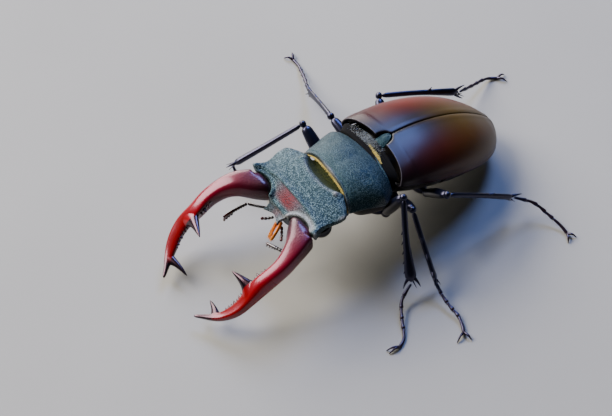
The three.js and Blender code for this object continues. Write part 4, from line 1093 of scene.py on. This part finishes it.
def leg(name):
    """The hip, a trochanter, a club-shaped thigh, a ridged shin with spines along it and a fork and two spurs
    at its end, and a foot of five segments with two claws."""
    data = LEGS[name]
    side = 1 if name.endswith("left") else -1
    hip, root, knee, ankle = (Vector(data[key]) for key in ("hip", "root", "knee", "ankle"))
    edge = Vector(data.get("edge", (0.3 * side, 0, 1)))
    radius, thigh, shin, spines, spine = LEG_BUILD[name.split("_")[0]]
    parts = []

    reach = root - hip
    ball = Line(hip - reach, hip, root)
    size = lambda s: [radius * math.sqrt(max(0.0, 1 - (2 * s - 1) ** 2)) + 0.02] * 2
    parts.append(limb("hip", ball, size, 15, sides=16))
    toward = (knee - root).normalized()
    knob = Line(root - toward * 0.9, root + toward * 0.35, root + toward * 1.6)
    size = lambda s: [0.72 * thigh[0] * math.sin(math.pi * mix(0.06, 0.96, s)) ** 0.6] * 2
    parts.append(limb("knob", knob, size, 9))

    start_at, end = root + toward * 0.4, knee - toward * 0.3

    def thigh_size(s):
        club = mix(0.6, 1, math.sin(math.pi * min(1.0, s * 0.9 + 0.1)) ** 0.7)
        return [half * club * round_end(min(s, 1 - s), 0.07) for half in thigh]

    line = Line(start_at, start_at.lerp(end, 0.5) + Vector((0, 0, 0.15)), end)
    parts.append(limb("thigh", line, thigh_size, 16, broad=Vector((0, 1, 0))))

    down = (ankle - knee).normalized()
    flat = (edge - down * edge.dot(down)).normalized()
    joint = Line(knee - down * 0.55, knee, knee + down * 0.7)
    size = lambda s: [0.74 * math.sin(math.pi * mix(0.05, 0.9, s)) ** 0.5] * 2
    parts.append(limb("knee", joint, size, 8, broad=flat))
    start_at, end = knee + down * 0.35, ankle - down * 0.15
    bowed = start_at.lerp(end, 0.5) + flat * 0.25
    line = Line(start_at, bowed, end)

    def shin_size(s):
        swell = 1 + 0.08 * math.sin(s * 9)
        rounded = round_end(min(s, 1 - s), 0.035)
        return [mix(0.5, shin[0], s**1.5) * rounded * swell, mix(0.5, shin[1], s) * rounded]

    parts.append(limb("shin", line, shin_size, 22, broad=flat, squareness=1.75))
    for k in range(spines):
        t = mix(0.38, 0.84, k / max(1, spines - 1)) if spines > 1 else 0.6
        foot = line.at(t) + flat * shin_size(t)[0] * 0.5
        length = spine * mix(0.7, 1.1, k / max(1, spines - 1))
        tip = foot + flat * (length + shin[0] * 0.3) + down * 0.75
        parts.append(spike("spine", foot, tip, 0.36, sharp=0.05))
    for way in (1, -1):
        foot = end - down * 0.8 + flat * way * shin[0] * 0.5
        tip = foot + down * 1.9 + flat * way * 1.1
        parts.append(spike("fork", foot, tip, 0.42, flat * way * 0.12, sharp=0.05))
    beside = down.cross(flat)
    for way in (1, -1):
        foot = end - down * 0.25 + beside * 0.25 * way - flat * 0.3
        tip = foot + down * 1.35 - flat * 0.5 + beside * 0.3 * way
        parts.append(spike("spur", foot, tip, 0.17, sharp=0.03))
    upper = joined("upper", parts)
    mark(upper, "foot", lambda i, p: 0.0)

    toes = [Vector(p) for p in data["toes"]]
    ankle_end = ankle + (toes[0] - ankle).normalized() * 0.15
    line = Line(ankle_end, *toes)
    bounds = [0, 0.2, 0.38, 0.54, 0.68, 1]
    parts = []
    for low, high in zip(bounds, bounds[1:]):
        low = max(0.0, low - 0.012)
        piece = Line(line.at(low), line.at(mix(low, high, 0.5)), line.at(high))
        last = high == 1
        thick, flare = (0.33, 0.8) if last else (0.46, 2.2)
        size = lambda s, thick=thick, flare=flare: [
            mix(0.25, thick, s**flare) * round_end(min(s * 1.6, 1 - s) + 0.02, 0.07)
        ] * 2
        parts.append(limb("segment", piece, size, 10, sides=10, broad=Vector((0.1, 0.1, 1))))
        if not last:
            ahead = line.ahead(high)
            out = ahead.cross(Vector((0, 0, 1))).normalized()
            for way in (1, -1):
                foot = line.at(high) - ahead * 0.25 + out * way * 0.16 - Vector((0, 0, 0.1))
                tip = foot + ahead * 0.55 + out * way * 0.22
                tip.z = max(tip.z - 0.1, 0.08)
                parts.append(spike("bristle", foot, tip, 0.1, sides=6, levels=0, sharp=0.02))
    before, last = toes[-2:]
    hook_root = last + (before - last).normalized() * 0.25
    for x, y in data["claws"]:
        tip = hook_root.lerp(Vector((x, y, 0.1)), 0.82)
        middle = hook_root.lerp(tip, 0.5)
        middle.z = 0.7
        size = lambda s: [mix(0.3, 0.1, s) * round_end(1.03 - s, 0.2)] * 2
        parts.append(limb("claw", Line(hook_root, middle, tip), size, 11, sides=10))
    lower = joined("foot", parts)
    mark(lower, "foot", lambda i, p: ease(0.5, 4, (p - ankle).length))
    for p in lower.data.vertices:
        p.co.z = max(p.co.z, 0.0)
    whole = joined(f"leg_{name}", [upper, lower])
    tidy(whole)
    nodes = [f"{part}_{name}" for part in ("coxa", "femur", "tibia", "tarsus")]
    return settle(whole, GROUND, LEG, "legs", *nodes)


# ---------- hair ----------

TUFT_SIDES = 5


def tufts(name, place, hair, slot, roots, radius, *nodes):
    """Many tapering tufts copied from one. A root is its place, the way it points, its length, how far its
    tip bends, and its place on the unwrap."""
    first = start(
        "tuft", bpy.ops.mesh.primitive_cone_add, vertices=TUFT_SIDES, radius1=radius, radius2=radius * 0.12,
        depth=1, location=(0, 0, 0.5), end_fill_type="TRIFAN",
    )
    bpy.ops.object.transform_apply(location=True)
    bpy.ops.object.mode_set(mode="EDIT")
    for share in (0.3, 0.65):
        bpy.ops.mesh.select_all(action="SELECT")
        bpy.ops.mesh.bisect(plane_co=(0, 0, share), plane_no=(0, 0, 1))
    bpy.ops.object.mode_set(mode="OBJECT")
    for p in first.data.vertices:
        p.co.xy *= 1 + 0.5 * math.sin(math.pi * p.co.z)
    mark(first, "along", lambda i, p: p.z)
    size = len(first.data.vertices)
    copies = []
    for spot, way, length, bend, _ in roots:
        copy = first.copy()
        copy.data = first.data.copy()
        bpy.context.scene.collection.objects.link(copy)
        turn = way.to_track_quat("Z", "Y").to_matrix()
        for p in copy.data.vertices:
            z = p.co.z
            p.co = spot + turn @ Vector((p.co.x, p.co.y, z * length)) + bend * z * z
        copies.append(copy)
    bpy.data.objects.remove(first)
    whole = joined(name, copies)
    unwrap = whole.data.uv_layers.new(name="OFBake")
    for loop in whole.data.loops:
        number, point = divmod(loop.vertex_index, size)
        u, v = roots[number][4]
        row, column = divmod(point, TUFT_SIDES)
        unwrap.data[loop.index].uv = (u + 0.003 * column / TUFT_SIDES, v + 0.003 * row / 4)
    whole.data.uv_layers.active = unwrap
    return settle(whole, place, hair, slot, *nodes)


def jitter(amount):
    return Vector([random.uniform(-amount, amount) for _ in range(3)])


FRINGE_HAIRS = 420


def fringes():
    """The golden hair along the front rim of the pronotum, and along the middle of its back rim."""
    front, back = [], []
    for i in range(FRINGE_HAIRS):
        share = i / (FRINGE_HAIRS - 1)
        spread = 0.02 + 0.95 * i / FRINGE_HAIRS
        u = mix(0.1, 0.9, share)
        spot = neck_form(u, 0.012) + Vector((0, 0.12, -0.06))
        out = Vector((spot.x * 0.02, -1, -0.1))
        front.append((spot + jitter(0.03), (out + jitter(0.12)).normalized(), random.uniform(0.35, 0.5),
                      Vector((0, -0.03, -0.1)), (spread, 0.05)))
        u = mix(0.2, 0.86, share)
        spot = neck_form(u, 0.955) + Vector((0, 0.03, 0.12))
        if not -5.5 < spot.x < 3.5:
            continue
        out = Vector((spot.x * 0.02, 1, 0.3))
        short = 1 - 0.6 * ease(1.8, 3.5, spot.x)
        back.append((spot + jitter(0.03), (out + jitter(0.1)).normalized(), short * random.uniform(0.6, 0.75),
                     Vector((0, 0.03, -0.12)), (spread, 0.95)))
    tufts("front_fringe", FORE, GOLD_HAIR, "hair_collar", front, 0.04)
    tufts("back_fringe", FORE, GOLD_HAIR, "hair_collar", back, 0.04)


def collar():
    """The neck between pronotum and wing cases, near black as painted shade, with pale grey down lying back
    over part of it.
    """

    def form(u, v):
        width = mix(6.9, 8.6, v)
        if u < 0.75:
            angle = math.pi * u / 0.75
            x, z = width * math.cos(angle), 0.05 + mix(1.7, 2.3, v) * power(math.sin(angle), 0.8)
        else:
            x, z = mix(-width, width, (u - 0.75) / 0.25), 0.05
        y = mix(-1.6, WING_FRONT + BASE_HOLLOW * (1 - (x / WING_WIDTH) ** 2) - 0.2, v)
        if at_end(v):
            x, z = 0.0, 0.6
        return Vector((x, y, z))

    neck = pressed("neck_mound", form, 60, 14, closed=True)
    settle(neck, TRUNK, NECK, "belly", "collar")
    roots = []
    for row in range(13):
        for i in range(130):
            u, v = mix(0.06, 0.69, (i + random.random()) / 130), mix(0.34, 0.88, (row + random.random()) / 13)
            spot = form(u, v)
            if random.random() > bell(spot.x, -1.8, 2.4):
                continue
            roots.append((spot, (Vector((0.05 * spot.x, 1, 0.22)) + jitter(0.15)).normalized(),
                          random.uniform(0.6, 0.9), Vector((0, 0.1, -0.2)), (0.05 + 0.9 * u, 0.3 + 0.5 * v)))
    tufts("neck_down", TRUNK, PALE_HAIR, "hair_collar", roots, 0.026)


def brush():
    """The orange licking brush: two tufts that part at the root and meet again at the tip."""
    roots = []
    for side in (1, -1):
        for i in range(64):
            angle, out = random.uniform(0, 2 * math.pi), 0.42 * math.sqrt(random.random())
            spot = Vector((0.9 + side * 0.22 + out * math.cos(angle), -11.5, -3.0 + out * math.sin(angle)))
            tip = Vector((2.0 + side * 0.3, -14.8, -4.4)) + jitter(0.3)
            bow = Vector((side * 0.55, 0, 0.15))
            way = tip - spot
            roots.append((spot, (way + bow * 2).normalized(), way.length * 0.97,
                          way - (way + bow * 2).normalized() * way.length * 0.97,
                          (0.25 + 0.25 * side + 0.15 * random.random(), 0.1 + 0.8 * i / 64)))
    tufts("licking_brush", HEAD, BRUSH_HAIR, "brush", roots, 0.1, "mouth_brush")


# ---------- the beetle ----------

for word, side in SIDES.items():
    wing_case(word, side)
    eye(word, side)
    jaw(word, side)
    feeler(word, side)
    palp(word, side)
shield()
underside("chest_underside", "metathorax", WING_FRONT, WAIST, 0, 0.35)
underside("belly_plates", "abdomen", WAIST + 0.3, BELLY_BACK, 5, 0.0)
pronotum()
breast()
head_capsule()
lip()
for name in LEGS:
    leg(name)
collar()
fringes()
brush()


# ---------- floor, light and camera ----------

CAMERA_PLACE = (0.180064, -0.117367, 0.265141)
CAMERA_RIGHT, CAMERA_UP = (0.508306, 0.861173, -0.002427), (-0.672136, 0.398486, 0.624053)
CAMERA_BACK = (0.538385, -0.315579, 0.781378)


def floor():
    ground = start("floor", bpy.ops.mesh.primitive_plane_add, size=4)
    f = Finish("pale_plaster_floor", Roughness=0.85)
    patch = f.add("TexNoise", {"Vector": f.place, "Scale": 18.0, "Detail": 4.0})
    tint = f.add("Mix", {0: patch, 6: "#94928a", 7: "#a09e95"}, **COLOURS)
    ground.data.materials.append(f.done(tint))


def lamp(name, place, aim, size, power_w, colour):
    bpy.ops.object.light_add(type="AREA", location=place)
    light = bpy.context.object
    light.name = name
    light.rotation_euler = (Vector(aim) - Vector(place)).to_track_quat("-Z", "Y").to_euler()
    light.data.shape = "DISK"
    light.data.size, light.data.energy, light.data.color = size, power_w, linear(colour)[:3]


floor()
lamp("window_beside", (-0.95, 0.06, 0.42), (0, 0, 0.01), 0.8, 20, "#fffaf4")
lamp("window_in_front", (-0.62, -0.5, 0.66), (0, 0, 0.01), 0.7, 22, "#fffaf8")
lamp("sky_behind", (-0.52, 0.58, 0.88), (0, 0, 0), 0.5, 14, "#86a6ff")
world = bpy.data.worlds.new("studio")
world.use_nodes = True
world.node_tree.nodes["Background"].inputs[0].default_value = linear("#a9b6c4")
world.node_tree.nodes["Background"].inputs[1].default_value = 0.05
bpy.context.scene.world = world

bpy.ops.object.camera_add()
camera = bpy.context.object
camera.name = "camera"
turn = Matrix((CAMERA_RIGHT, CAMERA_UP, CAMERA_BACK)).transposed().to_4x4()
camera.matrix_world = Matrix.Translation(CAMERA_PLACE) @ turn
camera.data.sensor_width, camera.data.lens = 36.0, 105.57
camera.data.clip_start, camera.data.clip_end = 0.01, 20
camera.data.dof.use_dof = False
bpy.context.scene.camera = camera
